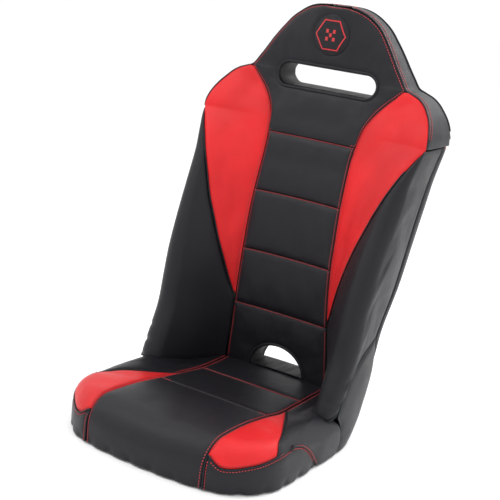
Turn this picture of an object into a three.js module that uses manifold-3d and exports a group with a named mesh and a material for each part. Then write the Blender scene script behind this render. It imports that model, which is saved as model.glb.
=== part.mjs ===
// Bucket suspension seat: a bent-tube frame with webbing and moulded foam, dressed in a sewn vinyl cover.
// Millimetres, +Z up, the sitter faces -Y. The seat is drawn with its base plane at z = 0 and its centre
// plane at x = 0, and the finished group is moved so that the origin is the middle of its footprint.
import * as THREE from 'three';
import { mergeVertices } from 'three/addons/utils/BufferGeometryUtils.js';
import Module from 'manifold-3d';

const wasm = await Module();
wasm.setup();

// ---------------------------------------------------------------- driving dimensions
const SEAT_HEIGHT = 852; // base plane to the crown of the head
const SHOULDER_WIDTH = 532; // widest place, across the shoulder corners
const SEAT_DEPTH = 606; // front of the cushion to the back of the shoulders
const PAD = 5; // a cover panel: vinyl on its quilting foam
const SEAM = 0.5; // half of the gap between two sewn panels
const FOAM_GAP = 3; // cover panel to moulded foam
const FIT = 0.4; // gap between hard pieces that touch
const SLOT_HALF_LENGTH = 117; // shoulder harness opening
const SLOT_HALF_HEIGHT = 25;
const SLOT_LEVEL = 700; // centre of the harness opening above the base plane
const BELT_HALF_WIDTH = 67; // lap belt opening
const BELT_RISE = 54; // height of the arch over its floor
const BELT_FLOOR = 72;
const SLEEVE_WALL = 2;
const FRAME_TUBE = 12.7; // radii of the two tube sizes
const BRACE_TUBE = 9.5;
const PLATE_THICKNESS = 3;
const PLATE_GAP = 0.7; // mounting plate to the tube over it
const BASE_LEVEL = PLATE_THICKNESS + PLATE_GAP + FRAME_TUBE; // centre of the base loop tube
const PLATE_WIDTH = 40;
const PLATE_LENGTH = 96;
const PLATE_HOLE = 4.6; // radius of the mounting hole
const MOUNT_HALF_SPAN = 165; // mounting plates, left to right
const MOUNT_FRONT = -290;
const MOUNT_REAR = -6;
const STRAP_WIDTH = 46;
const STRAP_THICKNESS = 2;
const ZIP_LENGTH = 320;
const ZIP_WIDTH = 12;
const BADGE_RADIUS = 43;
const CUSHION_CORNER = 110; // plan radius of the cushion's front corners
const CUSHION_SIDE_ROLL = 35; // edge radius along the sides
const CUSHION_FRONT_ROLL = 55; // edge radius along the front

// The pattern below is drawn for a seat of these sizes and graded to the ones above.
const PATTERN_HEIGHT = 852;
const PATTERN_WIDTH = 532;
const PATTERN_DEPTH = 606;
const GX = SHOULDER_WIDTH / PATTERN_WIDTH;
const GY = SEAT_DEPTH / PATTERN_DEPTH;
const GZ = SEAT_HEIGHT / PATTERN_HEIGHT;

// ---------------------------------------------------------------- finishes
const finish = (color, roughness, metalness = 0) => new THREE.MeshStandardMaterial({ color, roughness, metalness });
const BLACK_VINYL = finish(0x1c1c20, 0.45);
const RED_VINYL = finish(0xd22226, 0.42);
const FRAME_PAINT = finish(0x151517, 0.5, 0.3);
const FOAM = finish(0x2c2b2a, 0.95);
const WEBBING = finish(0x2a2a2c, 0.85);
const STEEL = finish(0xb4b6b8, 0.35, 0.9);
const THREAD = finish(0xc81e22, 0.7);
const TAPE = finish(0x202022, 0.8);

// ---------------------------------------------------------------- small helpers
const lerp = (a, b, t) => a + (b - a) * t;
const clamp = (x, lo, hi) => Math.min(hi, Math.max(lo, x));
const smooth = (t) => clamp(t, 0, 1) ** 2 * (3 - 2 * clamp(t, 0, 1));
const V = (x, y, z) => new THREE.Vector3(x, y, z);

/** A smooth function through [key, value] points, held at its end values outside them. */
function through(points) {
  const slope = points.map((p, i) => {
    const a = points[Math.max(0, i - 1)];
    const b = points[Math.min(points.length - 1, i + 1)];
    return (b[1] - a[1]) / (b[0] - a[0]);
  });
  return (key) => {
    if (key <= points[0][0]) return points[0][1];
    if (key >= points.at(-1)[0]) return points.at(-1)[1];
    const i = points.findIndex((p) => p[0] > key) - 1;
    const span = points[i + 1][0] - points[i][0];
    const t = (key - points[i][0]) / span;
    const rise = points[i + 1][1] - points[i][1];
    const blend = t * t * (3 - 2 * t);
    const start = t * (1 - t) * (1 - t) * slope[i] * span;
    const end = -t * t * (1 - t) * slope[i + 1] * span;
    return points[i][1] + blend * rise + start + end;
  };
}

/** A closed solid between an outer and an inner grid; wrap joins its first and last columns. */
function gridSolid(columns, rows, outer, inner, wrap = false) {
  const positions = [];
  const across = wrap ? columns : columns + 1;
  for (const face of [outer, inner]) {
    for (let j = 0; j <= rows; j++) {
      for (let i = 0; i < across; i++) positions.push(...face(i / columns, j / rows).toArray());
    }
  }
  const index = [];
  const layer = across * (rows + 1);
  const at = (k, i, j) => k * layer + j * across + (i % across);
  const quad = (a, b, c, d) => index.push(a, b, c, a, c, d);
  for (let i = 0; i < columns; i++) {
    for (let j = 0; j < rows; j++) {
      quad(at(0, i, j), at(0, i + 1, j), at(0, i + 1, j + 1), at(0, i, j + 1));
      quad(at(1, i, j), at(1, i, j + 1), at(1, i + 1, j + 1), at(1, i + 1, j));
    }
    quad(at(0, i + 1, 0), at(0, i, 0), at(1, i, 0), at(1, i + 1, 0));
    quad(at(0, i, rows), at(0, i + 1, rows), at(1, i + 1, rows), at(1, i, rows));
  }
  for (let j = 0; j < rows && !wrap; j++) {
    quad(at(0, 0, j), at(0, 0, j + 1), at(1, 0, j + 1), at(1, 0, j));
    quad(at(0, columns, j + 1), at(0, columns, j), at(1, columns, j), at(1, columns, j + 1));
  }
  const geometry = new THREE.BufferGeometry();
  geometry.setAttribute('position', new THREE.Float32BufferAttribute(positions, 3));
  geometry.setIndex(index);
  return faceOutwards(geometry);
}

/** Turns every triangle round when the closed mesh encloses a negative volume. */
function faceOutwards(geometry) {
  const p = geometry.attributes.position;
  const index = geometry.index.array;
  const [a, b, c] = [V(0, 0, 0), V(0, 0, 0), V(0, 0, 0)];
  let volume = 0;
  for (let i = 0; i < index.length; i += 3) {
    a.fromBufferAttribute(p, index[i]);
    b.fromBufferAttribute(p, index[i + 1]);
    c.fromBufferAttribute(p, index[i + 2]);
    volume += a.dot(b.cross(c));
  }
  if (volume < 0) {
    for (let i = 0; i < index.length; i += 3) [index[i], index[i + 1]] = [index[i + 1], index[i]];
  }
  geometry.computeVertexNormals();
  return geometry;
}

/** The unit normal of a surface map at (u, v), by the right hand from u to v. */
function normalOf(map, u, v) {
  const step = 0.004;
  const du = map(Math.min(1, u + step), v).sub(map(Math.max(0, u - step), v));
  const dv = map(u, Math.min(1, v + step)).sub(map(u, Math.max(0, v - step)));
  return du.cross(dv).normalize();
}

/** A padded panel: the map is its outer face, facing points outwards, its thickness goes inwards. */
function padded(map, columns, rows, facing, thickness = PAD) {
  const outwards = Math.sign(normalOf(map, 0.5, 0.45).dot(facing));
  const inner = (u, v) => map(u, v).addScaledVector(normalOf(map, u, v), -thickness * outwards);
  return gridSolid(columns, rows, map, inner);
}

/** A round tube along points, as a smooth curve or as straight runs between them. */
function tube(points, radius, steps, sides = 8, closed = false) {
  const circle = new THREE.Shape().absarc(0, 0, radius, 0, Math.PI * 2);
  const path = new THREE.CatmullRomCurve3(points, closed, 'centripetal');
  const options = { steps, extrudePath: path, curveSegments: sides / 2, bevelEnabled: false };
  const section = new THREE.Shape(circle.getPoints(sides).slice(0, sides));
  const geometry = new THREE.ExtrudeGeometry(section, options);
  geometry.deleteAttribute('normal');
  geometry.deleteAttribute('uv');
  return faceOutwards(mergeVertices(geometry, 1e-3));
}

/** An outline in the x-z plane extruded along y from front to rear. */
function extrudeBack(shape, front, rear, segments = 12) {
  const options = { depth: rear - front, bevelEnabled: false, curveSegments: segments };
  const geometry = new THREE.ExtrudeGeometry(shape, options);
  geometry.rotateX(Math.PI / 2);
  geometry.translate(0, rear, 0);
  geometry.deleteAttribute('normal');
  geometry.deleteAttribute('uv');
  return faceOutwards(mergeVertices(geometry, 1e-3));
}

function toSolid(source) {
  const geometry = source.clone();
  geometry.deleteAttribute('normal');
  const vertProperties = new Float32Array(geometry.attributes.position.array);
  const triVerts = new Uint32Array(geometry.index.array);
  return new wasm.Manifold(new wasm.Mesh({ numProp: 3, vertProperties, triVerts }));
}

function fromSolid(solid) {
  const mesh = solid.getMesh();
  const geometry = new THREE.BufferGeometry();
  geometry.setAttribute('position', new THREE.BufferAttribute(new Float32Array(mesh.vertProperties), 3));
  geometry.setIndex(new THREE.BufferAttribute(new Uint32Array(mesh.triVerts), 1));
  geometry.computeVertexNormals();
  return geometry;
}

const cut = (geometry, ...tools) => fromSolid(tools.reduce((s, t) => s.subtract(toSolid(t)), toSolid(geometry)));

const group = new THREE.Group();
const seat = new THREE.Group();
group.add(seat);

/** Adds a sub-part under its name and material. */
function piece(name, geometry, material) {
  const mesh = new THREE.Mesh(geometry, material);
  mesh.name = name;
  seat.add(mesh);
  return mesh;
}

/** Builds the left and the right copy of a piece; side is -1 or 1. */
function bothSides(name, make, material) {
  piece(`${name}_left`, make(-1), material);
  piece(`${name}_right`, make(1), material);
}

// ---------------------------------------------------------------- pattern of the back
// Heights z above the base plane, half widths x, and depths y, on the pattern seat.
const centreDepth = through([[0, 50], [70, 47], [125, 44], [201, 39], [260, 37], [326, 38], [390, 43], [455, 51],
  [504, 60], [579, 78], [640, 97], [700, 112], [750, 112], [792, 108], [852, 106]]);
const channelSeamX = through([[0, 128], [80, 126], [150, 120], [213, 115], [275, 111], [335, 108], [390, 107],
  [448, 105], [504, 103], [560, 103], [614, 110], [640, 122], [665, 141], [690, 166], [707, 183]]);
const channelSeamY = through([[0, 44], [80, 42], [150, 38], [213, 32], [275, 29], [335, 30], [390, 35],
  [448, 42], [504, 54], [560, 68], [614, 84], [665, 100], [707, 106]]);
const wingSeamX = through([[213, 117], [255, 129], [299, 141], [344, 155], [386, 169], [428, 185], [470, 200],
  [512, 217], [553, 236], [594, 258], [605, 265]]);
const crestDepth = through([[60, -145], [94, -132], [139, -113], [191, -91], [245, -80], [320, -64], [403, -36],
  [520, 12], [553, 27], [586, 46], [605, 60]]);
const sideHalfWidth = through([[0, 239], [100, 240], [200, 242], [300, 245], [400, 248], [520, 253], [553, 257],
  [605, 266]]);
const crestRadius = through([[0, 24], [500, 24], [560, 16], [605, 3]]);
const rearStart = through([[0, -95], [25, -64], [50, -41], [85, -22], [133, -2], [225, 12], [322, 60], [440, 98],
  [540, 132], [605, 150]]);
const rearDepth = through([[0, 100], [100, 108], [200, 115], [300, 138], [400, 162], [500, 176], [605, 181],
  [700, 179], [800, 173], [852, 169]]);
const rearSquareness = through([[0, 2.2], [225, 2.3], [322, 2.8], [440, 3.6], [605, 6]]);
const headBow = through([[707, -6], [764, 1], [799, 9], [830, 13], [852, 8]]);
const SHOULDER_LEVEL = 605; // pattern height of the shoulder corner
const NECK_LEVEL = 707; // pattern height where the channel seam meets the head outline
const CHANNEL_LEVELS = [201, 326, 455, 579]; // pattern heights of the cross seams
const HEAD_OUTLINE = [[266, 605], [265, 622], [260, 640], [252, 657], [241, 672], [229, 685], [214, 695], [198, 701],
  [183, 707], [169, 726], [156, 745], [144, 764], [131, 783], [119, 799], [105, 816], [88, 830], [68, 842],
  [42, 850], [0, 852]];
const headCurve = new THREE.CatmullRomCurve3(HEAD_OUTLINE.map(([x, z]) => V(x, 0, z)), false, 'centripetal');
const headHalfWidth = through(HEAD_OUTLINE.map(([x, z]) => [z, Math.max(x, 1)]));
const WING_POWER = 1.4; // how late the wing turns forward between the channel seam and its crest

/** The front bolster's arc at a height: its start on the wing, its centre, radius and turn. */
function crest(z) {
  const radius = crestRadius(z);
  const centreX = sideHalfWidth(z) - radius;
  const centreY = crestDepth(z) + radius;
  let turn = 0.5;
  for (let i = 0; i < 6; i++) {
    const startX = centreX - radius * Math.sin(turn);
    const startY = centreY - radius * Math.cos(turn);
    turn = Math.atan(WING_POWER * (channelSeamY(z) - startY) / (startX - channelSeamX(z)));
  }
  const startX = centreX - radius * Math.sin(turn);
  const startY = centreY - radius * Math.cos(turn);
  return { radius, centreX, centreY, turn, startX, startY };
}

/** Depth of the front face at a half width and a height, on the pattern seat. */
function frontDepth(x, z) {
  const width = Math.abs(x);
  if (z > NECK_LEVEL) return centreDepth(z) + headBow(z) * (width / headHalfWidth(z)) ** 2;
  const seamX = channelSeamX(z);
  const seamY = channelSeamY(z);
  if (width <= seamX) return centreDepth(z) + (seamY - centreDepth(z)) * (width / seamX) ** 2;
  const lower = crest(Math.min(z, SHOULDER_LEVEL));
  if (z < SHOULDER_LEVEL && width > lower.startX) {
    const past = Math.min(lower.radius, width - lower.centreX);
    return lower.centreY - Math.sqrt(lower.radius ** 2 - past ** 2);
  }
  const shoulder = smooth((z - SHOULDER_LEVEL) / (NECK_LEVEL - SHOULDER_LEVEL));
  const edgeX = z > SHOULDER_LEVEL ? headHalfWidth(z) : lower.startX;
  const edgeY = lerp(lower.startY, channelSeamY(NECK_LEVEL), shoulder);
  return seamY + (edgeY - seamY) * (Math.max(0, width - seamX) / Math.max(4, edgeX - seamX)) ** WING_POWER;
}

/** A point of the front face, graded; x and z are graded millimetres. */
const frontFace = (x, z) => V(x, frontDepth(x / GX, z / GZ) * GY, z);

/** A point of the back's skin on the pattern: 0-1 wing, 1-2 crest, 2-3 side wall, 3-4 rear to the centre. */
function skin(l, z, side) {
  const arc = crest(z);
  const wallX = sideHalfWidth(z);
  let x = l * arc.startX;
  let y = frontDepth(x, z);
  if (l > 1) {
    const angle = lerp(-Math.PI / 2 - arc.turn, 0, Math.min(1, l - 1));
    x = arc.centreX + arc.radius * Math.cos(angle);
    y = arc.centreY + arc.radius * Math.sin(angle);
  }
  if (l > 2) y = lerp(arc.centreY, rearStart(z), Math.min(1, l - 2));
  if (l > 3) {
    const angle = Math.min(l - 3, 1) * Math.PI / 2;
    const power = rearSquareness(z);
    const [c, s] = [Math.max(0, Math.cos(angle)), Math.sin(angle)];
    const reach = (c ** power + s ** power) ** (-1 / power);
    x = wallX * reach * c;
    y = lerp(rearStart(z), rearDepth(z), reach * s);
  }
  return V(side * x * GX, y * GY, z * GZ);
}

// ---------------------------------------------------------------- pattern of the cushion
const cushionLevel = through([[-420, 92], [-343, 92], [-300, 91], [-253, 87], [-192, 79], [-150, 73], [-100, 69],
  [-52, 66], [0, 66], [60, 68]]);
const sideLift = through([[-270, 0], [-192, 12], [-120, 20], [0, 20]]);
const cushionSeamX = through([[-420, 138], [-379, 138], [-300, 135], [-205, 133], [-151, 135], [-55, 127], [38, 126]]);
const CUSHION_HALF_WIDTH = 241;
const CUSHION_FRONT = 404; // front line at the corners; the middle bows forward of it
const CUSHION_BOW = 19;
const HEM_LEVEL = 3;
const CUSHION_SEAMS = [-192, -52]; // cross seams of the cushion's centre
const CORNER_SEAM = [[134, -125], [155, -164], [175, -203], [195, -241], [214, -279], [224, -300]];
const BAND_LEVEL = through([[138, 69], [170, 50], [225, 57], [275, 68], [318, 72], [352, 68], [385, 48], [411, 21],
  [424, HEM_LEVEL]]); // height of the corner band's seam by distance round the plan outline
const BAND_START = 138;
const BAND_TURN = 275; // where the red corner ends on the band's seam
const BAND_END = 424;
const HIP_SEAM = through([[0, -103], [22, -88], [60, -94], [97, -124]]); // depth of the hip seam by height

const bow = (x, y) => CUSHION_BOW * Math.max(0, 1 - (x / 200) ** 2) * smooth((-y - 250) / 150);
const cushionTop = (x, y) => cushionLevel(y) + sideLift(y) * smooth((Math.abs(x) - 150) / 80);

/** Plan outline of the cushion: signed distance inside it, and the outward direction. */
function planEdge(x, y) {
  const inX = CUSHION_HALF_WIDTH - CUSHION_CORNER;
  const inY = CUSHION_FRONT - CUSHION_CORNER;
  const dx = Math.abs(x) - inX;
  const dy = -y - inY;
  const sign = Math.sign(x) || 1;
  if (dx > 0 && dy > 0) {
    const reach = Math.hypot(dx, dy);
    return { inside: CUSHION_CORNER - reach, nx: sign * dx / reach, ny: -dy / reach };
  }
  if (dx > dy) return { inside: CUSHION_CORNER - dx, nx: sign, ny: 0 };
  return { inside: CUSHION_CORNER - dy, nx: 0, ny: -1 };
}

const rollRadius = (ny) => lerp(CUSHION_SIDE_ROLL, CUSHION_FRONT_ROLL, ny * ny);

/** A point of the cushion's skin; outside the plan outline the flat pattern is wrapped down the wall. */
function cushion(x, y) {
  const edge = planEdge(x, y);
  const radius = rollRadius(edge.ny);
  if (edge.inside >= radius) return V(x * GX, (y - bow(x, y)) * GY, cushionTop(x, y) * GZ);
  const past = radius - edge.inside;
  const angle = Math.min(past / radius, Math.PI / 2);
  const rimX = x + edge.nx * edge.inside;
  const rimY = y + edge.ny * edge.inside;
  const inset = radius * (1 - Math.sin(angle));
  const drop = radius * (1 - Math.cos(angle)) + Math.max(0, past - radius * Math.PI / 2);
  const level = cushionTop(rimX - edge.nx * radius, rimY - edge.ny * radius) - drop;
  const [skinX, skinY] = [rimX - edge.nx * inset, rimY - edge.ny * inset];
  return V(skinX * GX, (skinY - bow(skinX, skinY)) * GY, level * GZ);
}

/** Flat pattern point of the wall at a distance round the outline from the front centre, and a height. */
function wallPattern(distance, level, side) {
  const straight = CUSHION_HALF_WIDTH - CUSHION_CORNER;
  const turn = clamp((distance - straight) / CUSHION_CORNER, 0, Math.PI / 2);
  const back = Math.max(0, distance - straight - CUSHION_CORNER * Math.PI / 2);
  const nx = Math.sin(turn);
  const ny = -Math.cos(turn);
  const rimX = distance < straight ? distance : straight + CUSHION_CORNER * nx;
  const rimY = -CUSHION_FRONT + CUSHION_CORNER * (1 + ny) + back;
  const radius = rollRadius(ny);
  const drop = cushionTop(rimX - nx * radius, rimY - ny * radius) - level;
  const arc = drop < radius ? radius * Math.acos(1 - drop / radius) : radius * (Math.PI / 2 - 1) + drop;
  return [side * (rimX + nx * (arc - radius)), rimY + ny * (arc - radius)];
}

// ---------------------------------------------------------------- cover of the back
const forwards = V(0, -1, 0);
const backwards = V(0, 1, 0);
const upwards = V(0, 0, 1);
const sideways = (side) => V(side, 0, 0);

/** Closest point of the harness opening's rim, grown by a margin, to a point of the face. */
function slotRim(x, z, margin) {
  const reach = SLOT_HALF_LENGTH - SLOT_HALF_HEIGHT;
  const level = SLOT_LEVEL * GZ;
  const axis = clamp(x, -reach, reach);
  const away = Math.hypot(x - axis, z - level);
  const radius = SLOT_HALF_HEIGHT + margin;
  return [axis + (x - axis) / away * radius, level + (z - level) / away * radius];
}

/** Moves a closed outline, listed anticlockwise from its lowest middle point, inwards by a margin. */
function insetOutline(points, margin) {
  return points.map(([x, z], i) => {
    const before = points[(i + points.length - 1) % points.length];
    const after = points[(i + 1) % points.length];
    const length = Math.hypot(after[0] - before[0], after[1] - before[1]);
    return [x - (after[1] - before[1]) / length * margin, z + (after[0] - before[0]) / length * margin];
  });
}

/** Outline of a panel round the harness opening: a level floor, sides by height, then the head outline. */
function upperOutline(margin, floor, sideX, headSteps) {
  const right = [];
  const floorSteps = 4;
  for (let i = 0; i <= floorSteps; i++) right.push([lerp(0, sideX(floor), i / floorSteps), floor]);
  for (let z = floor + 20; z < NECK_LEVEL - 8; z += 20) right.push([sideX(z), z]);
  for (let i = 0; i <= headSteps; i++) {
    const p = headCurve.getPointAt(lerp(headStart, 1, i / headSteps));
    right.push([p.x, p.z]);
  }
  const whole = [...right, ...right.slice(1, -1).reverse().map(([x, z]) => [-x, z])];
  return insetOutline(whole.map(([x, z]) => [x * GX, z * GZ]), margin);
}
const headStart = (() => {
  let best = 0;
  for (let t = 0; t <= 1; t += 0.002) {
    const p = headCurve.getPointAt(t);
    if (p.z <= NECK_LEVEL) best = t;
  }
  return best;
})();

/** A ring-shaped panel round the harness opening, out to a closed outline. */
function ringMap(outline, margin, surface) {
  return (u, v) => {
    const [x, z] = outline[Math.round(u * outline.length) % outline.length];
    const [rimX, rimZ] = slotRim(x, z, margin);
    return surface(lerp(rimX, x, v), lerp(rimZ, z, v));
  };
}

/** A ring solid from a ring map, its inner face moved by (0, thickness, 0) or by a given map. */
function ringSolid(outline, margin, surface, rearSurface, rings) {
  const outer = ringMap(outline, margin, surface);
  const inner = ringMap(outline, margin, rearSurface);
  return gridSolid(outline.length, rings, outer, inner, true);
}

const recess = (surface, depth) => (x, z) => surface(x, z).add(V(0, depth, 0));
const upperFloor = CHANNEL_LEVELS.at(-1);
const upperEdge = upperOutline(SEAM, upperFloor, channelSeamX, 12);
const upperPanel = ringSolid(upperEdge, FIT, frontFace, recess(frontFace, PAD), 4);
piece('head_and_upper_centre_panel', upperPanel, BLACK_VINYL);

CHANNEL_LEVELS.slice(0, 3).forEach((low, i) => {
  const high = CHANNEL_LEVELS[i + 1];
  const map = (u, v) => {
    const z = lerp(low * GZ + SEAM, high * GZ - SEAM, v);
    return frontFace((2 * u - 1) * (channelSeamX(z / GZ) * GX - SEAM), z);
  };
  piece(`back_channel_panel_${i + 1}`, padded(map, 4, 4, forwards), BLACK_VINYL);
});

/** Lower centre panel: legs either side of the belt opening and the strip over its arch. */
function lowerCentre(u, v) {
  const low = (BELT_FLOOR + 3) * GZ;
  const top = CHANNEL_LEVELS[0] * GZ - SEAM;
  const angle = Math.PI * (1 - u);
  const rim = [BELT_HALF_WIDTH * Math.cos(angle), low + (BELT_RISE - 3) * Math.sin(angle)];
  const corner = 0.3;
  const side = u < 0.5 ? -1 : 1;
  const rise = Math.min(u, 1 - u) / corner;
  const z = rise < 1 ? lerp(low, top, rise) : top;
  const reach = channelSeamX(z / GZ) * GX - SEAM;
  const x = rise < 1 ? side * reach : lerp(-reach, reach, (u - corner) / (1 - 2 * corner));
  return frontFace(lerp(rim[0], x, v), lerp(rim[1], z, v));
}
piece('lower_centre_panel', padded(lowerCentre, 20, 2, forwards), BLACK_VINYL);

/** Outer edge of the red shoulder panel: up the wing seam, then round the shoulder to the neck. */
const redEdge = new THREE.CatmullRomCurve3([
  ...[222, 255, 299, 344, 386, 428, 470, 512, 553, 590].map((z) => V(wingSeamX(z), 0, z)),
  ...HEAD_OUTLINE.slice(0, 9).map(([x, z]) => V(x, 0, z)),
], false, 'centripetal');
bothSides('red_shoulder_panel', (side) => padded((u, v) => {
  const edge = redEdge.getPointAt(lerp(0.01, 0.97, v));
  const z = lerp(222, NECK_LEVEL - 7, v);
  const inner = channelSeamX(z) * GX + SEAM;
  const outer = Math.max(inner + 0.4, edge.x * GX - SEAM - 1);
  return frontFace(side * lerp(inner, outer, u), lerp(z, edge.z, u) * GZ);
}, 4, 14, forwards), RED_VINYL);

const bolsterFloor = through([[0.3, 72], [0.6, 80], [1, 96], [1.8, 98], [1.95, 120], [2.05, 160], [2.3, 190],
  [2.6, 203], [3, 222]]);
const BOLSTER_TOP = 601;
/** Station of the bolster's front seam on the skin: along the wing, or past it on the crest's arc. */
function bolsterStart(z) {
  const arc = crest(z);
  const seam = (z > 213 ? wingSeamX(z) : channelSeamX(z)) + 2.4;
  if (seam < arc.startX) return seam / arc.startX;
  const angle = -Math.acos(Math.min(1, (seam - arc.centreX) / arc.radius));
  return 1 + (angle + Math.PI / 2 + arc.turn) / (Math.PI / 2 + arc.turn);
}
bothSides('side_bolster_panel', (side) => padded((u, v) => {
  const z = lerp(bolsterFloor(lerp(0.4, 3, u)), BOLSTER_TOP, v);
  return skin(lerp(bolsterStart(z), 3, u), z, side);
}, 12, 11, sideways(side)), BLACK_VINYL);

const rearPanelStart = through([[0, 3.45], [60, 3.4], [140, 3.25], [222, 3.02]]);
bothSides('hip_panel', (side) => padded((u, v) => {
  const z = lerp(HEM_LEVEL, 216, v);
  const arc = crest(z);
  const wallSpan = rearStart(z) - arc.centreY;
  const upperSeam = through([[97, 2.02], [142, 2.08], [179, 2.2], [203, 2.62], [222, 3.0]]);
  const seam = z < 97 ? 2 + (HIP_SEAM(z) + 1 - arc.centreY) / wallSpan : upperSeam(z);
  const start = Math.max(2.02, seam) + 0.09;
  return skin(lerp(start, rearPanelStart(z) - 0.02, u), z, side);
}, 5, 7, sideways(side)), BLACK_VINYL);

piece('head_side_band', padded((u, v) => {
  const t = 1 - Math.abs(2 * u - 1);
  const p = headCurve.getPointAt(t);
  const side = u < 0.5 ? -1 : 1;
  const front = frontDepth(p.x, p.z) * GY + PAD + 3;
  const rear = rearDepth(p.z) * GY - PAD - 1;
  return V(side * p.x * GX, lerp(front, rear, v), p.z * GZ + 0.6);
}, 38, 2, upwards), BLACK_VINYL);

// ---------------------------------------------------------------- rear covers and the zip between them
const rearFace = (x, z) => V(x, rearDepth(z / GZ) * GY, z);
const REAR_SEAM_HALF = ZIP_WIDTH / 2 + FIT;
const zipLevel = SHOULDER_LEVEL * GZ + ZIP_WIDTH / 2;
const shoulderX = (z) => headHalfWidth(z) - 1;
const rearOutline = upperOutline(FIT, (zipLevel + REAR_SEAM_HALF) / GZ, shoulderX, 10);
piece('head_rear_panel', ringSolid(rearOutline, FIT, rearFace, recess(rearFace, -PAD), 2), BLACK_VINYL);

const beltCutter = (margin, front, rear) => {
  const arch = new THREE.Shape();
  const floor = BELT_FLOOR * GZ - Math.max(margin, FIT);
  arch.moveTo(BELT_HALF_WIDTH + margin, floor);
  arch.lineTo(BELT_HALF_WIDTH + margin, BELT_FLOOR * GZ);
  arch.absellipse(0, BELT_FLOOR * GZ, BELT_HALF_WIDTH + margin, BELT_RISE + margin, 0, Math.PI);
  arch.lineTo(-BELT_HALF_WIDTH - margin, floor);
  return extrudeBack(arch, front, rear, 10);
};
const backRear = padded((u, v) => {
  const z = lerp(HEM_LEVEL, (zipLevel - REAR_SEAM_HALF) / GZ, v);
  const t = Math.abs(2 * u - 1);
  const level = Math.min(z, SHOULDER_LEVEL - 2);
  const l = 4 - t * (4 - Math.max(rearPanelStart(z), 3.02));
  const p = skin(l, level, u < 0.5 ? -1 : 1);
  p.z = z * GZ;
  return p;
}, 18, 12, backwards);
const rearReach = PATTERN_DEPTH * GY;
piece('back_rear_panel', cut(backRear, beltCutter(SLEEVE_WALL, 40 * GY, rearReach)), BLACK_VINYL);

const zipDepth = rearDepth(zipLevel / GZ) * GY;
const box = (w, d, h, x, y, z) => new THREE.BoxGeometry(w, d, h).translate(x, y, z);
piece('zip_tape', box(ZIP_LENGTH, 1.4, ZIP_WIDTH, 0, zipDepth - 2, zipLevel), TAPE);
const SLIDER_X = -ZIP_LENGTH / 2 + 12;
const SLIDER_THICKNESS = 4;
const PULL_LENGTH = 26;
const PULL_THICKNESS = 1.6;
const sliderDepth = zipDepth - 1.3 + FIT + SLIDER_THICKNESS / 2;
piece('zip_slider', box(9, SLIDER_THICKNESS, 11, SLIDER_X, sliderDepth, zipLevel), STEEL);
const pullDepth = sliderDepth + SLIDER_THICKNESS / 2 + FIT + PULL_THICKNESS / 2;
const pullLevel = zipLevel - PULL_LENGTH / 2 + PULL_THICKNESS / 2;
piece('zip_pull', box(6, PULL_THICKNESS, PULL_LENGTH, SLIDER_X, pullDepth, pullLevel), STEEL);

// ---------------------------------------------------------------- sleeves and badge
function slotShape(margin) {
  const radius = SLOT_HALF_HEIGHT + margin;
  const reach = SLOT_HALF_LENGTH - SLOT_HALF_HEIGHT;
  const level = SLOT_LEVEL * GZ;
  const shape = new THREE.Shape();
  shape.absarc(reach, level, radius, -Math.PI / 2, Math.PI / 2);
  shape.absarc(-reach, level, radius, Math.PI / 2, Math.PI * 1.5);
  shape.closePath();
  return shape;
}
const slotFront = 120 * GY;
const slotRear = rearDepth(SLOT_LEVEL) * GY - PAD - 1.2;
const sleeveBlock = extrudeBack(slotShape(-FIT), slotFront, slotRear);
piece('harness_slot_sleeve', cut(sleeveBlock, extrudeBack(slotShape(-FIT - SLEEVE_WALL), 0, rearReach)), BLACK_VINYL);
const beltFront = (centreDepth(100) + PAD + 4) * GY;
const beltRear = rearDepth(BELT_FLOOR) * GY - 1;
const beltBlock = beltCutter(SLEEVE_WALL - FIT, beltFront, beltRear);
piece('belt_opening_sleeve', cut(beltBlock, beltCutter(-FIT, 0, rearReach)), BLACK_VINYL);

const BADGE_LEVEL = 792;
const HEAD_TILT = 3.8; // degrees that the head leans forward of upright
const badge = extrudeBack(new THREE.Shape().absarc(0, 0, BADGE_RADIUS, 0, Math.PI * 2), -1.2, 0, 14);
badge.rotateX(THREE.MathUtils.degToRad(HEAD_TILT));
badge.translate(0, (centreDepth(BADGE_LEVEL) - 2.6) * GY, BADGE_LEVEL * GZ);
piece('head_badge', badge, THREAD);

// ---------------------------------------------------------------- cover of the cushion
const wrapped = ([x, y]) => cushion(x, y);
const hemEdge = (x) => wallPattern(x, HEM_LEVEL, 1)[1];
const backFoot = (x) => frontDepth(x, BELT_FLOOR) - 2;

/** A centre panel of the cushion between two cross seams; the front one runs down to the hem. */
function cushionCentre(front, rear) {
  return (u, v) => {
    const across = 2 * u - 1;
    const guide = lerp(front(0), rear(0), v);
    const x = across * (cushionSeamX(guide) - SEAM);
    return cushion(x, lerp(front(x) + SEAM, rear(x) - SEAM, v));
  };
}
const crossSeam = (level) => () => level;
const centreRows = [
  ['cushion_front_panel', (x) => hemEdge(Math.abs(x)), crossSeam(CUSHION_SEAMS[0]), 14],
  ['cushion_middle_panel', crossSeam(CUSHION_SEAMS[0]), crossSeam(CUSHION_SEAMS[1]), 5],
  ['cushion_rear_panel', crossSeam(CUSHION_SEAMS[1]), backFoot, 4],
];
for (const [name, front, rear, rows] of centreRows) {
  piece(name, padded(cushionCentre(front, rear), 6, rows, upwards), BLACK_VINYL);
}

const cornerCurve = new THREE.CatmullRomCurve3([
  ...CORNER_SEAM.map(([x, y]) => V(x, y, 0)),
  V(...wallPattern(BAND_TURN, BAND_LEVEL(BAND_TURN), 1), 0),
], false, 'centripetal');
const bandSeam = (distance, side, offset = 0) => wallPattern(distance, BAND_LEVEL(distance) + offset, side);
const mix = (a, b, t) => [lerp(a[0], b[0], t), lerp(a[1], b[1], t)];

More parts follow.
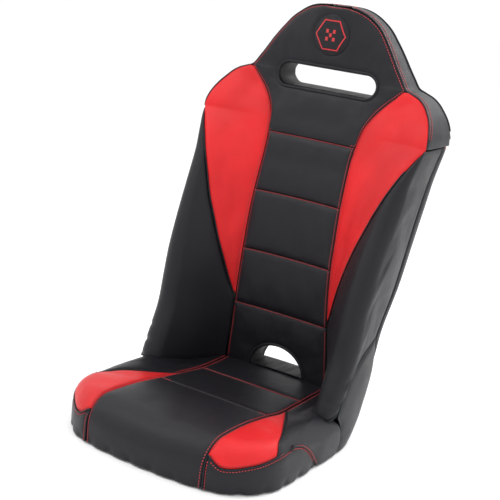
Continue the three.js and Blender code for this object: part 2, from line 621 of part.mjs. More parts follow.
bothSides('red_cushion_panel', (side) => padded((u, v) => {
  const back = lerp(0, 0.97, v);
  const start = bandSeam(BAND_START + 1, 1, 1);
  const y = lerp(start[1], CORNER_SEAM[0][1], back);
  const inner = [cushionSeamX(y) + SEAM + 0.3, y];
  const c = cornerCurve.getPointAt(1 - back);
  const outer = [c.x - 1, c.y - 0.8];
  const straight = mix(inner, outer, u);
  const tip = cornerCurve.getPointAt(1);
  const base = mix([cushionSeamX(start[1]) + SEAM + 0.3, start[1]], [tip.x - 1, tip.y - 0.8], u);
  const seam = bandSeam(lerp(BAND_START + 1, BAND_TURN, u), 1, 1);
  const [x, yy] = [straight[0] + (1 - v) * (seam[0] - base[0]), straight[1] + (1 - v) * (seam[1] - base[1])];
  return cushion(side * x, yy);
}, 6, 8, upwards), RED_VINYL);

bothSides('front_corner_band', (side) => padded((u, v) => {
  const distance = lerp(BAND_START + 1.2, BAND_END - 14, u);
  const low = wallPattern(distance, HEM_LEVEL, side);
  const high = bandSeam(distance, side, -1);
  return wrapped(mix(low, high, v));
}, 18, 2, V(side, -1, 0)), BLACK_VINYL);

/** Flat pattern of the cushion's side panel, between the corner seam and the back's crease. */
function sidePanel(u, v) {
  const turn = 0.55;
  const sideDistance = (y) => y + CUSHION_FRONT + CUSHION_HALF_WIDTH + CUSHION_CORNER * (Math.PI / 2 - 2);
  const frontEdge = (s) => {
    if (s < turn) {
      const p = cornerCurve.getPointAt(s / turn);
      return [p.x + 0.8, p.y + 0.8];
    }
    return bandSeam(lerp(BAND_TURN, BAND_END, (s - turn) / (1 - turn)) + 1.5, 1, 1.5);
  };
  const creaseX = (s) => lerp(129, 206, s / turn);
  const rearEdge = (s) => {
    if (s < turn) return [creaseX(s), frontDepth(creaseX(s), 88) - 6];
    const z = lerp(88, HEM_LEVEL, (s - turn) / (1 - turn));
    return wallPattern(sideDistance(HIP_SEAM(z) - 2.5), z, 1);
  };
  const inner = (t) => {
    const y = lerp(CORNER_SEAM[0][1] + 2, rearEdge(0)[1], t);
    return [Math.max(cushionSeamX(y) + 1, 129 * t), y];
  };
  const hem = (t) => mix(frontEdge(1), rearEdge(1), t);
  const ruledV = mix(frontEdge(u), rearEdge(u), v);
  const ruledU = mix(inner(v), hem(v), u);
  const corners = mix(mix(inner(0), hem(0), u), mix(inner(1), hem(1), u), v);
  return [ruledV[0] + ruledU[0] - corners[0], ruledV[1] + ruledU[1] - corners[1]];
}
bothSides('cushion_side_panel', (side) => padded((u, v) => {
  const [x, y] = sidePanel(lerp(0.02, 1, u), v);
  return cushion(side * x, y);
}, 12, 7, V(side, 0, 1)), BLACK_VINYL);

// ---------------------------------------------------------------- moulded foam
const COVER = PAD + FOAM_GAP;
const BACK_FOAM_TOP = 600;
const WING_FOAM = 22; // thickness at the wing's crest
const centreFoam = through([[120, 21], [260, 24], [400, 33], [600, 36]]); // thickness behind the sitter's back
const HOOP_DEPTH = 149; // depth of the hoop's tube inside the head

/** How far a half width lies from the channel seam (0) towards the wing's crest (1). */
function wingShare(x, z) {
  const start = channelSeamX(z);
  return clamp((Math.abs(x) - start) / (crest(Math.min(z, SHOULDER_LEVEL)).startX - start), 0, 1);
}

/** Depth of the front face of the back's foam; the wings slope, so their cover needs more room along y. */
const foamFront = (x, z) => frontDepth(x, z) + COVER * lerp(1, 2.4, wingShare(x, z)) / GY;

/** Depth of the rear face of the back's foam. */
const foamRear = (x, z) => foamFront(x, z) + lerp(centreFoam(z), WING_FOAM, wingShare(x, z)) / GY;
const foamSlab = (map, columns, rows) => gridSolid(
  columns,
  rows,
  ...[foamFront, foamRear].map((depth) => (u, v) => {
    const [x, z] = map(u, v);
    return V(x, depth(x / GX, z / GZ) * GY, z);
  }),
);
piece('back_foam', foamSlab((u, v) => {
  const z = lerp(BELT_FLOOR * GZ + BELT_RISE + 12, BACK_FOAM_TOP * GZ, v);
  return [(2 * u - 1) * (channelSeamX(z / GZ) * GX - 2), z];
}, 6, 10), FOAM);
bothSides('bolster_foam', (side) => foamSlab((u, v) => {
  const z = lerp(120, BACK_FOAM_TOP - 8, v);
  const inner = channelSeamX(z) * GX + 2;
  const outer = (crest(z).startX - 4) * GX;
  return [side * lerp(inner, outer, u), z * GZ];
}, 4, 10), FOAM);
const headFoamOutline = upperOutline(20, SHOULDER_LEVEL - 8, (z) => headHalfWidth(z), 10);
const headFoamRear = (x, z) => V(x, (HOOP_DEPTH - 1) * GY - FRAME_TUBE - 1, z);
const headFoamFront = recess(frontFace, COVER + 1);
piece('head_foam', ringSolid(headFoamOutline, FOAM_GAP, headFoamFront, headFoamRear, 2), FOAM);

const STRAP_LEVEL = BASE_LEVEL + FRAME_TUBE + FIT;
const SEAT_FOAM_FLOOR = STRAP_LEVEL + STRAP_THICKNESS + FIT;
const SEAT_FOAM_INSET = 46;
const seatFoamPlan = (u, v) => {
  const y = lerp(-CUSHION_FRONT + SEAT_FOAM_INSET + 4, 34, v);
  const cornerY = Math.max(0, -y - (CUSHION_FRONT - CUSHION_CORNER));
  const cornerRadius = CUSHION_CORNER - SEAT_FOAM_INSET;
  const reach = CUSHION_HALF_WIDTH - CUSHION_CORNER + Math.sqrt(Math.max(0, cornerRadius ** 2 - cornerY ** 2));
  const clear = Math.min(reach, y > -150 ? lerp(reach, 124, (y + 150) / 184) : reach);
  return [(2 * u - 1) * clear, y];
};
piece('seat_foam', gridSolid(8, 8, (u, v) => {
  const [x, y] = seatFoamPlan(u, v);
  return V(x * GX, y * GY, cushionTop(x, y) * GZ - COVER - 2);
}, (u, v) => {
  const [x, y] = seatFoamPlan(u, v);
  return V(x * GX, y * GY, SEAT_FOAM_FLOOR);
}), FOAM);

// ---------------------------------------------------------------- tube frame
const BASE_HALF_WIDTH = 206;
const BASE_FRONT = -368;
const BASE_REAR = 58;
const hoopY = through([[30, -62], [100, -50], [225, -4], [322, 38], [440, 92], [540, 128], [600, HOOP_DEPTH],
  [852, HOOP_DEPTH]]);
const braceY = through([[30, -105], [100, -82], [225, -30], [322, 4], [440, 42], [500, 84]]);
const HOOP_HALF = 216;
const BRACE_HALF = 216;

/** Closed plan loop of straight runs and corner arcs. */
function baseLoop() {
  const points = [];
  const corner = (cx, cy, radius, from) => {
    for (let i = 0; i <= 4; i++) {
      const angle = from + i * Math.PI / 8;
      points.push(V((cx + radius * Math.cos(angle)) * GX, (cy + radius * Math.sin(angle)) * GY, BASE_LEVEL));
    }
  };
  const frontRadius = 85;
  const rearRadius = 120;
  corner(BASE_HALF_WIDTH - rearRadius, BASE_REAR - rearRadius, rearRadius, 0);
  corner(rearRadius - BASE_HALF_WIDTH, BASE_REAR - rearRadius, rearRadius, Math.PI / 2);
  corner(frontRadius - BASE_HALF_WIDTH, BASE_FRONT + frontRadius, frontRadius, Math.PI);
  corner(BASE_HALF_WIDTH - frontRadius, BASE_FRONT + frontRadius, frontRadius, Math.PI * 1.5);
  return points;
}
piece('base_frame_loop', tube(baseLoop(), FRAME_TUBE, 44, 8, true), FRAME_PAINT);

const hoopFoot = BASE_LEVEL + FRAME_TUBE + 3;
const HOOP_INSET = PAD + FRAME_TUBE + 8; // head outline to the middle of the tube
const hoopSide = [
  [BASE_HALF_WIDTH, hoopFoot / GZ], [212, 100], [HOOP_HALF, 225], [218, 322], [221, 440], [227, 540],
].map(([x, z]) => V(x * GX, hoopY(z) * GY, z * GZ));
for (const t of [0.06, 0.14, 0.22, 0.3, 0.42, 0.54, 0.66, 0.78, 0.9, 0.97]) {
  const p = headCurve.getPointAt(t);
  const along = headCurve.getTangentAt(t);
  hoopSide.push(V(p.x * GX - along.z * HOOP_INSET, hoopY(p.z) * GY, p.z * GZ + along.x * HOOP_INSET));
}
const mirrored = (p) => V(-p.x, p.y, p.z);
const hoopPath = [...hoopSide.map(mirrored), ...hoopSide.slice().reverse()];
piece('back_frame_hoop', tube(hoopPath, FRAME_TUBE, 54), FRAME_PAINT);

const SHOULDER_TUBE_LEVEL = 634;
const SHOULDER_TUBE_HALF = 222;
const hoopInner = (x) => x * GX - FRAME_TUBE - 2;

/** A cross tube behind the foam, from the hoop's one side to the other, at a pattern height. */
function crossTube(level, halfX) {
  const behind = BRACE_TUBE + 3;
  const right = [0, 0.28, 0.56, 0.8].map((share) => {
    const x = share * halfX;
    return V(x * GX, foamRear(x, level) * GY + behind, level * GZ);
  });
  right.push(V(hoopInner(halfX), hoopY(level) * GY, level * GZ));
  return tube([...right.slice(1).reverse().map(mirrored), ...right], BRACE_TUBE, 16);
}
piece('shoulder_cross_tube', tube([V(-hoopInner(SHOULDER_TUBE_HALF), HOOP_DEPTH * GY, SHOULDER_TUBE_LEVEL * GZ),
  V(hoopInner(SHOULDER_TUBE_HALF), HOOP_DEPTH * GY, SHOULDER_TUBE_LEVEL * GZ)], BRACE_TUBE, 1), FRAME_PAINT);
piece('lumbar_cross_tube', crossTube(404, 220), FRAME_PAINT);
piece('hip_cross_tube', crossTube(152, 213), FRAME_PAINT);
piece('base_cross_tube_front', tube([V(-hoopInner(204), MOUNT_FRONT * GY, BASE_LEVEL),
  V(hoopInner(204), MOUNT_FRONT * GY, BASE_LEVEL)], FRAME_TUBE, 1), FRAME_PAINT);
const rearTubeHalf = 188.6 * GX - 1.75 * FRAME_TUBE; // the loop already turns inwards there
piece('base_cross_tube_rear', tube([V(-rearTubeHalf, MOUNT_REAR * GY, BASE_LEVEL),
  V(rearTubeHalf, MOUNT_REAR * GY, BASE_LEVEL)], FRAME_TUBE, 1), FRAME_PAINT);
const braceFoot = (BASE_LEVEL + FRAME_TUBE + 2) / GZ;
const bracePath = [
  [BASE_HALF_WIDTH, braceY(30), braceFoot], [211, braceY(100), 100], [BRACE_HALF, braceY(225), 225],
  [218, braceY(322), 322], [222, braceY(440), 440], [224, braceY(500), 492],
];
bothSides('bolster_brace', (side) => {
  const points = bracePath.map(([x, y, z]) => V(side * x * GX, y * GY, z * GZ));
  return tube(points, BRACE_TUBE, 14);
}, FRAME_PAINT);

const HOLE_OFFSET = 30; // the mounting hole lies this far ahead of the plate's middle
const NUT_RADIUS = 8.5;
const NUT_HEIGHT = 7;

/** A mounting plate under a cross tube, with its hole ahead of the tube. */
function mountPlate(x, y) {
  const outline = new THREE.Shape();
  const [w, l] = [PLATE_WIDTH / 2, PLATE_LENGTH / 2];
  outline.moveTo(-w, -l).lineTo(w, -l).lineTo(w, l).lineTo(-w, l).closePath();
  outline.holes.push(new THREE.Path().absarc(0, -HOLE_OFFSET, PLATE_HOLE, 0, Math.PI * 2, true));
  const options = { depth: PLATE_THICKNESS, bevelEnabled: false, curveSegments: 8 };
  const plate = new THREE.ExtrudeGeometry(outline, options);
  return plate.translate(x, y, 0);
}

/** A weld nut over a plate's hole. */
function weldNut(x, y) {
  const hexagon = new THREE.Shape();
  for (let i = 0; i < 6; i++) {
    const angle = i * Math.PI / 3;
    hexagon[i ? 'lineTo' : 'moveTo'](NUT_RADIUS * Math.cos(angle), NUT_RADIUS * Math.sin(angle));
  }
  hexagon.closePath();
  hexagon.holes.push(new THREE.Path().absarc(0, 0, PLATE_HOLE, 0, Math.PI * 2, true));
  const options = { depth: NUT_HEIGHT, bevelEnabled: false, curveSegments: 8 };
  const nut = new THREE.ExtrudeGeometry(hexagon, options);
  return nut.translate(x, y - HOLE_OFFSET, PLATE_THICKNESS + FIT);
}
for (const [place, y] of [['front', MOUNT_FRONT], ['rear', MOUNT_REAR]]) {
  bothSides(`mount_plate_${place}`, (side) => mountPlate(side * MOUNT_HALF_SPAN * GX, y * GY), STEEL);
  bothSides(`mount_nut_${place}`, (side) => weldNut(side * MOUNT_HALF_SPAN * GX, y * GY), STEEL);
}

// ---------------------------------------------------------------- webbing
const SEAT_STRAPS = [-318, -240, -162, -84];
SEAT_STRAPS.forEach((y, i) => {
  const span = 2 * BASE_HALF_WIDTH * GX - 8;
  const level = STRAP_LEVEL + STRAP_THICKNESS / 2;
  piece(`seat_strap_${i + 1}`, box(span, STRAP_WIDTH, STRAP_THICKNESS, 0, y * GY, level), WEBBING);
});
/** Slope of the foam's rear face at a pattern height, which the straps follow. */
const strapLean = (level) => (foamRear(0, level + 20) - foamRear(0, level - 20)) * GY / (40 * GZ);
const STRAP_CLEARANCE = 8; // to the foam where it bulges between the straps' folds
const BACK_STRAPS = [228, 306, 384, 462];
BACK_STRAPS.forEach((level, i) => {
  const reach = (BRACE_HALF - 4) * GX - BRACE_TUBE;
  const map = (u, v) => {
    const x = (2 * u - 1) * reach;
    const y = foamRear(x / GX, level) * GY + STRAP_THICKNESS + STRAP_CLEARANCE;
    return V(x, y + (v - 0.5) * STRAP_WIDTH * strapLean(level), level * GZ + (v - 0.5) * STRAP_WIDTH);
  };
  piece(`back_strap_${i + 1}`, padded(map, 12, 1, backwards, STRAP_THICKNESS), WEBBING);
});

// ---------------------------------------------------------------- origin at the middle of the footprint
const bounds = new THREE.Box3().setFromObject(seat);
const middle = bounds.getCenter(V(0, 0, 0));
seat.position.set(-middle.x, -middle.y, -bounds.min.z);

export default group;
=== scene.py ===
"""A bucket suspension seat: sewn vinyl cover, embroidered badge, rear zip, webbing and tube frame.

The cover is drawn as a sewing pattern in millimetres on the seat's own planes (base plane z = 0, centre
plane x = 0, the sitter faces -Y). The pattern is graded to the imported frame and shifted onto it.
"""

import logging
import math
from collections.abc import Callable, Sequence
from dataclasses import dataclass, field
from enum import Enum

import bmesh
import bpy
import numpy as np
from mathutils import Matrix, Vector, noise
from mathutils.kdtree import KDTree


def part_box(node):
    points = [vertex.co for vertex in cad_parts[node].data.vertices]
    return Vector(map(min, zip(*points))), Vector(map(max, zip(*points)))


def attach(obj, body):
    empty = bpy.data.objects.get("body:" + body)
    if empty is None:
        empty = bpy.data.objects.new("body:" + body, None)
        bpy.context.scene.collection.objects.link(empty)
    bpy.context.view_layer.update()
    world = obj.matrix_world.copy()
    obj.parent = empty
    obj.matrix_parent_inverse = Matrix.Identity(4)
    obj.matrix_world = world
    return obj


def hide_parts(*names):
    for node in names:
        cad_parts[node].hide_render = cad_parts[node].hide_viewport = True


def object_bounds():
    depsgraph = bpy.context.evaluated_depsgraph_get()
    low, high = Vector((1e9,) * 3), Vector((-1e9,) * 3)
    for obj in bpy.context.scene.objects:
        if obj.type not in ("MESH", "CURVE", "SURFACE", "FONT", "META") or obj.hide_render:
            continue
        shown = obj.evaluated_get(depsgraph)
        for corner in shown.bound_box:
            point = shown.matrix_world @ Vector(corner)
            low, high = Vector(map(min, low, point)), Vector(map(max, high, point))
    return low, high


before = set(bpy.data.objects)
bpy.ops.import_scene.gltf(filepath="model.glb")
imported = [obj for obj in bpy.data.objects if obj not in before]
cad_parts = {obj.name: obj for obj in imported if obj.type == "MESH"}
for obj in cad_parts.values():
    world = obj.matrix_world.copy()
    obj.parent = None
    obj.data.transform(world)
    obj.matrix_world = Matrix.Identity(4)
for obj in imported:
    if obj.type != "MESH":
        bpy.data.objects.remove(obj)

log = logging.getLogger("seat")
CAD_BOX = [list(corner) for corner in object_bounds()]
BODY = "seat"
MM = 0.001
SIDES = ((-1, "left"), (1, "right"))
Array = np.ndarray
SurfaceMap = Callable[[Array, Array], Array]
SeamMap = Callable[[Array], Array]


# ---------------------------------------------------------------- small helpers
def lerp(a: Array, b: Array, t: Array) -> Array:
    """Returns the blend of a and b at t."""
    return a + (b - a) * t


def smooth(t: Array) -> Array:
    """Returns the smooth step of t, held at 0 and 1."""
    t = np.clip(t, 0.0, 1.0)
    return t * t * (3.0 - 2.0 * t)


def stack(x: Array, y: Array, z: Array) -> Array:
    """Returns points from three coordinate arrays of one shape."""
    return np.stack(np.broadcast_arrays(x, y, z), axis=-1).astype(float)


def unit(v: Array) -> Array:
    """Returns vectors scaled to length one."""
    return v / np.maximum(np.linalg.norm(v, axis=-1, keepdims=True), 1e-12)


class Through:
    """A smooth curve through key and value pairs, held at its end values outside them."""

    def __init__(self, *points: tuple[float, float]) -> None:
        """Keeps the points and their slopes.

        Args:
            points: the pairs, by rising key.
        """
        self.keys = np.array([p[0] for p in points], float)
        self.values = np.array([p[1] for p in points], float)
        before = np.maximum(np.arange(len(points)) - 1, 0)
        after = np.minimum(np.arange(len(points)) + 1, len(points) - 1)
        rise = self.values[after] - self.values[before]
        self.slopes = rise / (self.keys[after] - self.keys[before])

    def __call__(self, key: Array) -> Array:
        """Returns the curve's values at the keys.

        Args:
            key: one key or an array of them.

        Returns:
            The values, in the keys' shape.
        """
        key = np.clip(np.asarray(key, float), self.keys[0], self.keys[-1])
        i = np.clip(np.searchsorted(self.keys, key, side="right") - 1, 0, len(self.keys) - 2)
        span = self.keys[i + 1] - self.keys[i]
        t = (key - self.keys[i]) / span
        rise = self.values[i + 1] - self.values[i]
        ends = t * (1 - t) ** 2 * self.slopes[i] - t * t * (1 - t) * self.slopes[i + 1]
        return self.values[i] + t * t * (3 - 2 * t) * rise + ends * span


class Spline:
    """A centripetal curve through plane points, read by its share of the whole length."""

    def __init__(self, points: Sequence[tuple[float, float]], fine: int = 40) -> None:
        """Samples the curve and its running length.

        Args:
            points: the points that the curve goes through.
            fine: samples for each stretch between two points.
        """
        p = np.array(points, float)
        p = np.vstack([2 * p[0] - p[1], p, 2 * p[-1] - p[-2]])
        samples = []
        for i in range(1, len(p) - 2):
            samples.extend(self.stretch(p[i - 1 : i + 3], np.arange(fine) / fine))
        samples.append(p[-2])
        self.samples = np.array(samples)
        steps = np.linalg.norm(np.diff(self.samples, axis=0), axis=1)
        self.shares = np.concatenate([[0.0], np.cumsum(steps)]) / steps.sum()

    @staticmethod
    def stretch(p: Array, t: Array) -> Array:
        """Returns points of one stretch.

        Args:
            p: the four points round the stretch.
            t: shares of it, from 0 to 1.

        Returns:
            One point for each share.
        """
        gaps = np.maximum(np.linalg.norm(np.diff(p, axis=0), axis=1) ** 0.5, 1e-4)
        first = (p[1] - p[0]) / gaps[0] - (p[2] - p[0]) / (gaps[0] + gaps[1]) + (p[2] - p[1]) / gaps[1]
        last = (p[2] - p[1]) / gaps[1] - (p[3] - p[1]) / (gaps[1] + gaps[2]) + (p[3] - p[2]) / gaps[2]
        first, last = first * gaps[1], last * gaps[1]
        t = t[:, None]
        square = -3 * p[1] + 3 * p[2] - 2 * first - last
        cube = 2 * p[1] - 2 * p[2] + first + last
        return p[1] + first * t + square * t**2 + cube * t**3

    def __call__(self, share: Array) -> tuple[Array, Array]:
        """Returns the two coordinates at shares of the length."""
        first = np.interp(share, self.shares, self.samples[:, 0])
        return first, np.interp(share, self.shares, self.samples[:, 1])


# ---------------------------------------------------------------- the pattern on the seat
@dataclass(frozen=True)
class Grade:
    """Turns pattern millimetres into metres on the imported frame."""

    width: float = 532.0
    height: float = 852.6
    depth: float = 609.2
    front_mount: float = -290.0

    def place(self, points: Array) -> Array:
        """Returns pattern points in the frame's metres.

        Args:
            points: pattern points in millimetres.

        Returns:
            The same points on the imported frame.
        """
        low, high = (Vector(corner) for corner in CAD_BOX)
        size = high - low
        scale = np.array([size.x / self.width, size.y / self.depth, size.z / self.height])
        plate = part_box("mount_plate_front_left")
        shift = (plate[0][1] + plate[1][1]) / 2 - self.front_mount * scale[1]
        return points * scale + np.array([0.0, shift, 0.0])


GRADE = Grade()


@dataclass(frozen=True)
class BackPattern:
    """The back: heights z above the base plane, half widths x, depths y."""

    shoulder: float = 605.0
    neck: float = 707.0
    wing_power: float = 1.4
    channels: tuple[float, ...] = (201.0, 326.0, 455.0, 579.0)
    centre_depth: Through = Through(
        (0, 50), (70, 47), (125, 44), (201, 39), (260, 37), (326, 38), (390, 43), (455, 51), (504, 60),
        (579, 78), (640, 97), (700, 112), (750, 112), (792, 108), (852, 106))
    channel_x: Through = Through(
        (0, 128), (80, 126), (150, 120), (213, 115), (275, 111), (335, 108), (390, 107), (448, 105),
        (504, 103), (560, 103), (614, 110), (640, 122), (665, 141), (690, 166), (707, 183))
    channel_y: Through = Through(
        (0, 44), (80, 42), (150, 38), (213, 32), (275, 29), (335, 30), (390, 35), (448, 42), (504, 54),
        (560, 68), (614, 84), (665, 100), (707, 106))
    wing_x: Through = Through(
        (213, 117), (255, 129), (299, 141), (344, 155), (386, 169), (428, 185), (470, 200), (512, 217),
        (553, 236), (594, 258), (605, 265))
    crest_depth: Through = Through(
        (60, -145), (94, -132), (139, -113), (191, -91), (245, -80), (320, -64), (403, -36), (520, 12),
        (553, 27), (586, 46), (605, 60))
    side_x: Through = Through(
        (0, 239), (100, 240), (200, 242), (300, 245), (400, 248), (520, 253), (553, 257), (605, 266))
    crest_radius: Through = Through((0, 24), (500, 24), (560, 16), (605, 3))
    rear_start: Through = Through(
        (0, -95), (25, -64), (50, -41), (85, -22), (133, -2), (225, 12), (322, 60), (440, 98), (540, 132),
        (605, 150))
    rear_depth: Through = Through(
        (0, 100), (100, 108), (200, 115), (300, 138), (400, 162), (500, 176), (605, 181), (700, 179),
        (800, 173), (852, 169))
    rear_squareness: Through = Through((0, 2.2), (225, 2.3), (322, 2.8), (440, 3.6), (605, 6))
    head_bow: Through = Through((707, -6), (764, 1), (799, 9), (830, 13), (852, 8))
    outline: tuple[tuple[float, float], ...] = (
        (266, 605), (265, 622), (260, 640), (252, 657), (241, 672), (229, 685), (214, 695), (198, 701),
        (183, 707), (169, 726), (156, 745), (144, 764), (131, 783), (119, 799), (105, 816), (88, 830),
        (68, 842), (42, 850), (0, 852))

    def crest(self, z: Array) -> tuple[Array, ...]:
        """Returns the bolster's front arc at heights.

        Args:
            z: the heights.

        Returns:
            Radius, centre x, centre y, turn, start x and start y of the arc.
        """
        radius = self.crest_radius(z)
        centre_x = self.side_x(z) - radius
        centre_y = self.crest_depth(z) + radius
        turn = np.full_like(radius, 0.5)
        for _ in range(6):
            start_x = centre_x - radius * np.sin(turn)
            start_y = centre_y - radius * np.cos(turn)
            run = start_x - self.channel_x(z)
            turn = np.arctan(self.wing_power * (self.channel_y(z) - start_y) / run)
        start_x = centre_x - radius * np.sin(turn)
        start_y = centre_y - radius * np.cos(turn)
        return radius, centre_x, centre_y, turn, start_x, start_y

    def head_x(self, z: Array) -> Array:
        """Returns the head's half width at heights."""
        points = [(z, max(x, 1)) for x, z in self.outline]
        return Through(*points)(z)

    def front_depth(self, x: Array, z: Array) -> Array:
        """Returns the depth of the front face.

        Args:
            x: distances from the centre plane.
            z: heights.

        Returns:
            The depths.
        """
        x, z = np.broadcast_arrays(np.asarray(x, float), np.asarray(z, float))
        width = np.abs(x)
        middle = self.centre_depth(z)
        seam_x, seam_y = self.channel_x(z), self.channel_y(z)
        radius, centre_x, centre_y, _, start_x, start_y = self.crest(np.minimum(z, self.shoulder))
        share = smooth((z - self.shoulder) / (self.neck - self.shoulder))
        edge_x = np.where(z > self.shoulder, self.head_x(z), start_x)
        edge_y = lerp(start_y, self.channel_y(np.asarray(self.neck)), share)
        reach = np.maximum(0.0, width - seam_x) / np.maximum(4.0, edge_x - seam_x)
        wing = seam_y + (edge_y - seam_y) * reach**self.wing_power
        past = np.minimum(radius, width - centre_x)
        arc = centre_y - np.sqrt(np.maximum(0.0, radius**2 - past**2))
        centre = middle + (seam_y - middle) * (width / seam_x) ** 2
        head = middle + self.head_bow(z) * (width / self.head_x(z)) ** 2
        on_arc = (z < self.shoulder) & (width > start_x)
        return np.select([z > self.neck, width <= seam_x, on_arc], [head, centre, arc], wing)

    def front(self, x: Array, z: Array) -> Array:
        """Returns points of the front face."""
        return stack(x, self.front_depth(x, z), z)

    def skin(self, station: Array, z: Array, side: int) -> Array:
        """Returns points of the back's skin.

        Args:
            station: 0 to 1 over the wing, to 2 round the crest, to 3 along the side, to 4 round the rear.
            z: heights.
            side: -1 for the left half and 1 for the right.

        Returns:
            The points.
        """
        station, z = np.broadcast_arrays(np.asarray(station, float), np.asarray(z, float))
        radius, centre_x, centre_y, turn, start_x, _ = self.crest(z)
        x = station * start_x
        y = self.front_depth(x, z)
        angle = lerp(-math.pi / 2 - turn, 0.0, np.clip(station - 1, 0, 1))
        x = np.where(station > 1, centre_x + radius * np.cos(angle), x)
        y = np.where(station > 1, centre_y + radius * np.sin(angle), y)
        wall = lerp(centre_y, self.rear_start(z), np.clip(station - 2, 0, 1))
        y = np.where(station > 2, wall, y)
        angle = np.clip(station - 3, 0, 1) * math.pi / 2
        power = self.rear_squareness(z)
        c, s = np.maximum(0, np.cos(angle)), np.sin(angle)
        reach = (c**power + s**power) ** (-1 / power)
        x = np.where(station > 3, self.side_x(z) * reach * c, x)
        y = np.where(station > 3, lerp(self.rear_start(z), self.rear_depth(z), reach * s), y)
        return stack(side * x, y, z)


@dataclass(frozen=True)
class CushionPattern:
    """The cushion: a flat pattern on x and y, wrapped down its walls past the plan outline."""

    half_width: float = 241.0
    front: float = 404.0
    corner: float = 110.0
    side_roll: float = 35.0
    front_roll: float = 55.0
    bow: float = 19.0
    hem: float = 3.0
    seams: tuple[float, float] = (-192.0, -52.0)
    band_start: float = 138.0
    band_turn: float = 275.0
    band_end: float = 424.0
    level: Through = Through(
        (-420, 92), (-343, 92), (-300, 91), (-253, 87), (-192, 79), (-150, 73), (-100, 69), (-52, 66),
        (0, 66), (60, 68))
    side_lift: Through = Through((-270, 0), (-192, 12), (-120, 20), (0, 20))
    seam_x: Through = Through(
        (-420, 138), (-379, 138), (-300, 135), (-205, 133), (-151, 135), (-55, 127), (38, 126))
    corner_seam: tuple[tuple[float, float], ...] = (
        (134, -125), (155, -164), (175, -203), (195, -241), (214, -279), (224, -300))
    band_level: Through = Through(
        (138, 69), (170, 50), (225, 57), (275, 68), (318, 72), (352, 68), (385, 48), (411, 21), (424, 3))
    hip_seam: Through = Through((0, -103), (22, -88), (60, -94), (97, -124))

    def top(self, x: Array, y: Array) -> Array:
        """Returns the height of the cushion's top over the plan."""
        return self.level(y) + self.side_lift(y) * smooth((np.abs(x) - 150) / 80)

    def bowed(self, x: Array, y: Array) -> Array:
        """Returns how far the front bows forwards of its straight line."""
        share = smooth((-y - 250) / 150)
        return self.bow * np.maximum(0, 1 - (x / 200) ** 2) * share

    def roll(self, ny: Array) -> Array:
        """Returns the edge radius for an outward direction's y."""
        return lerp(self.side_roll, self.front_roll, ny * ny)

    def edge(self, x: Array, y: Array) -> tuple[Array, Array, Array]:
        """Returns the distance inside the plan outline and the outward direction.

        Args:
            x: distances from the centre plane.
            y: depths.

        Returns:
            The distance inside, and the two coordinates of the direction.
        """
        dx = np.abs(x) - (self.half_width - self.corner)
        dy = -y - (self.front - self.corner)
        sign = np.where(x < 0, -1.0, 1.0)
        reach = np.maximum(np.hypot(dx, dy), 1e-6)
        turning = (dx > 0) & (dy > 0)
        inside = np.select([turning, dx > dy], [self.corner - reach, self.corner - dx], self.corner - dy)
        nx = np.select([turning, dx > dy], [sign * dx / reach, sign], 0.0)
        ny = np.select([turning, dx > dy], [-dy / reach, 0.0 * dy], -1.0)
        return inside, nx, ny

    def wrap(self, x: Array, y: Array) -> Array:
        """Returns points of the cushion's skin for flat pattern points.

        Args:
            x: pattern distances from the centre plane.
            y: pattern depths.

        Returns:
            The points, wrapped down the wall outside the plan outline.
        """
        x, y = np.broadcast_arrays(np.asarray(x, float), np.asarray(y, float))
        inside, nx, ny = self.edge(x, y)
        radius = self.roll(ny)
        past = np.maximum(0, radius - inside)
        angle = np.minimum(past / radius, math.pi / 2)
        rim_x, rim_y = x + nx * inside, y + ny * inside
        inset = radius * (1 - np.sin(angle))
        drop = radius * (1 - np.cos(angle)) + np.maximum(0, past - radius * math.pi / 2)
        wall_z = self.top(rim_x - nx * radius, rim_y - ny * radius) - drop
        flat = inside >= radius
        skin_x = np.where(flat, x, rim_x - nx * inset)
        skin_y = np.where(flat, y, rim_y - ny * inset)
        skin_z = np.where(flat, self.top(x, y), wall_z)
        return stack(skin_x, skin_y - self.bowed(skin_x, skin_y), skin_z)

    def wall(self, distance: Array, level: Array) -> tuple[Array, Array]:
        """Returns the flat pattern point of a place on the right half's wall.

        Args:
            distance: distance round the plan outline from the front's middle.
            level: height above the base plane.

        Returns:
            The pattern's x and y.
        """
        straight = self.half_width - self.corner
        turn = np.clip((distance - straight) / self.corner, 0, math.pi / 2)
        back = np.maximum(0, distance - straight - self.corner * math.pi / 2)
        nx, ny = np.sin(turn), -np.cos(turn)
        rim_x = np.where(distance < straight, distance, straight + self.corner * nx)
        rim_y = -self.front + self.corner * (1 + ny) + back
        radius = self.roll(ny)
        drop = self.top(rim_x - nx * radius, rim_y - ny * radius) - level
        rolled = radius * np.arccos(np.clip(1 - drop / radius, -1, 1))
        arc = np.where(drop < radius, rolled, radius * (math.pi / 2 - 1) + drop)
        return rim_x + nx * (arc - radius), rim_y + ny * (arc - radius)

    def band(self, distance: Array, offset: Array = 0.0) -> tuple[Array, Array]:
        """Returns the flat pattern point of the corner band's seam."""
        return self.wall(distance, self.band_level(distance) + offset)


BACK = BackPattern()
CUSHION = CushionPattern()
HEAD_CURVE = Spline(BACK.outline)


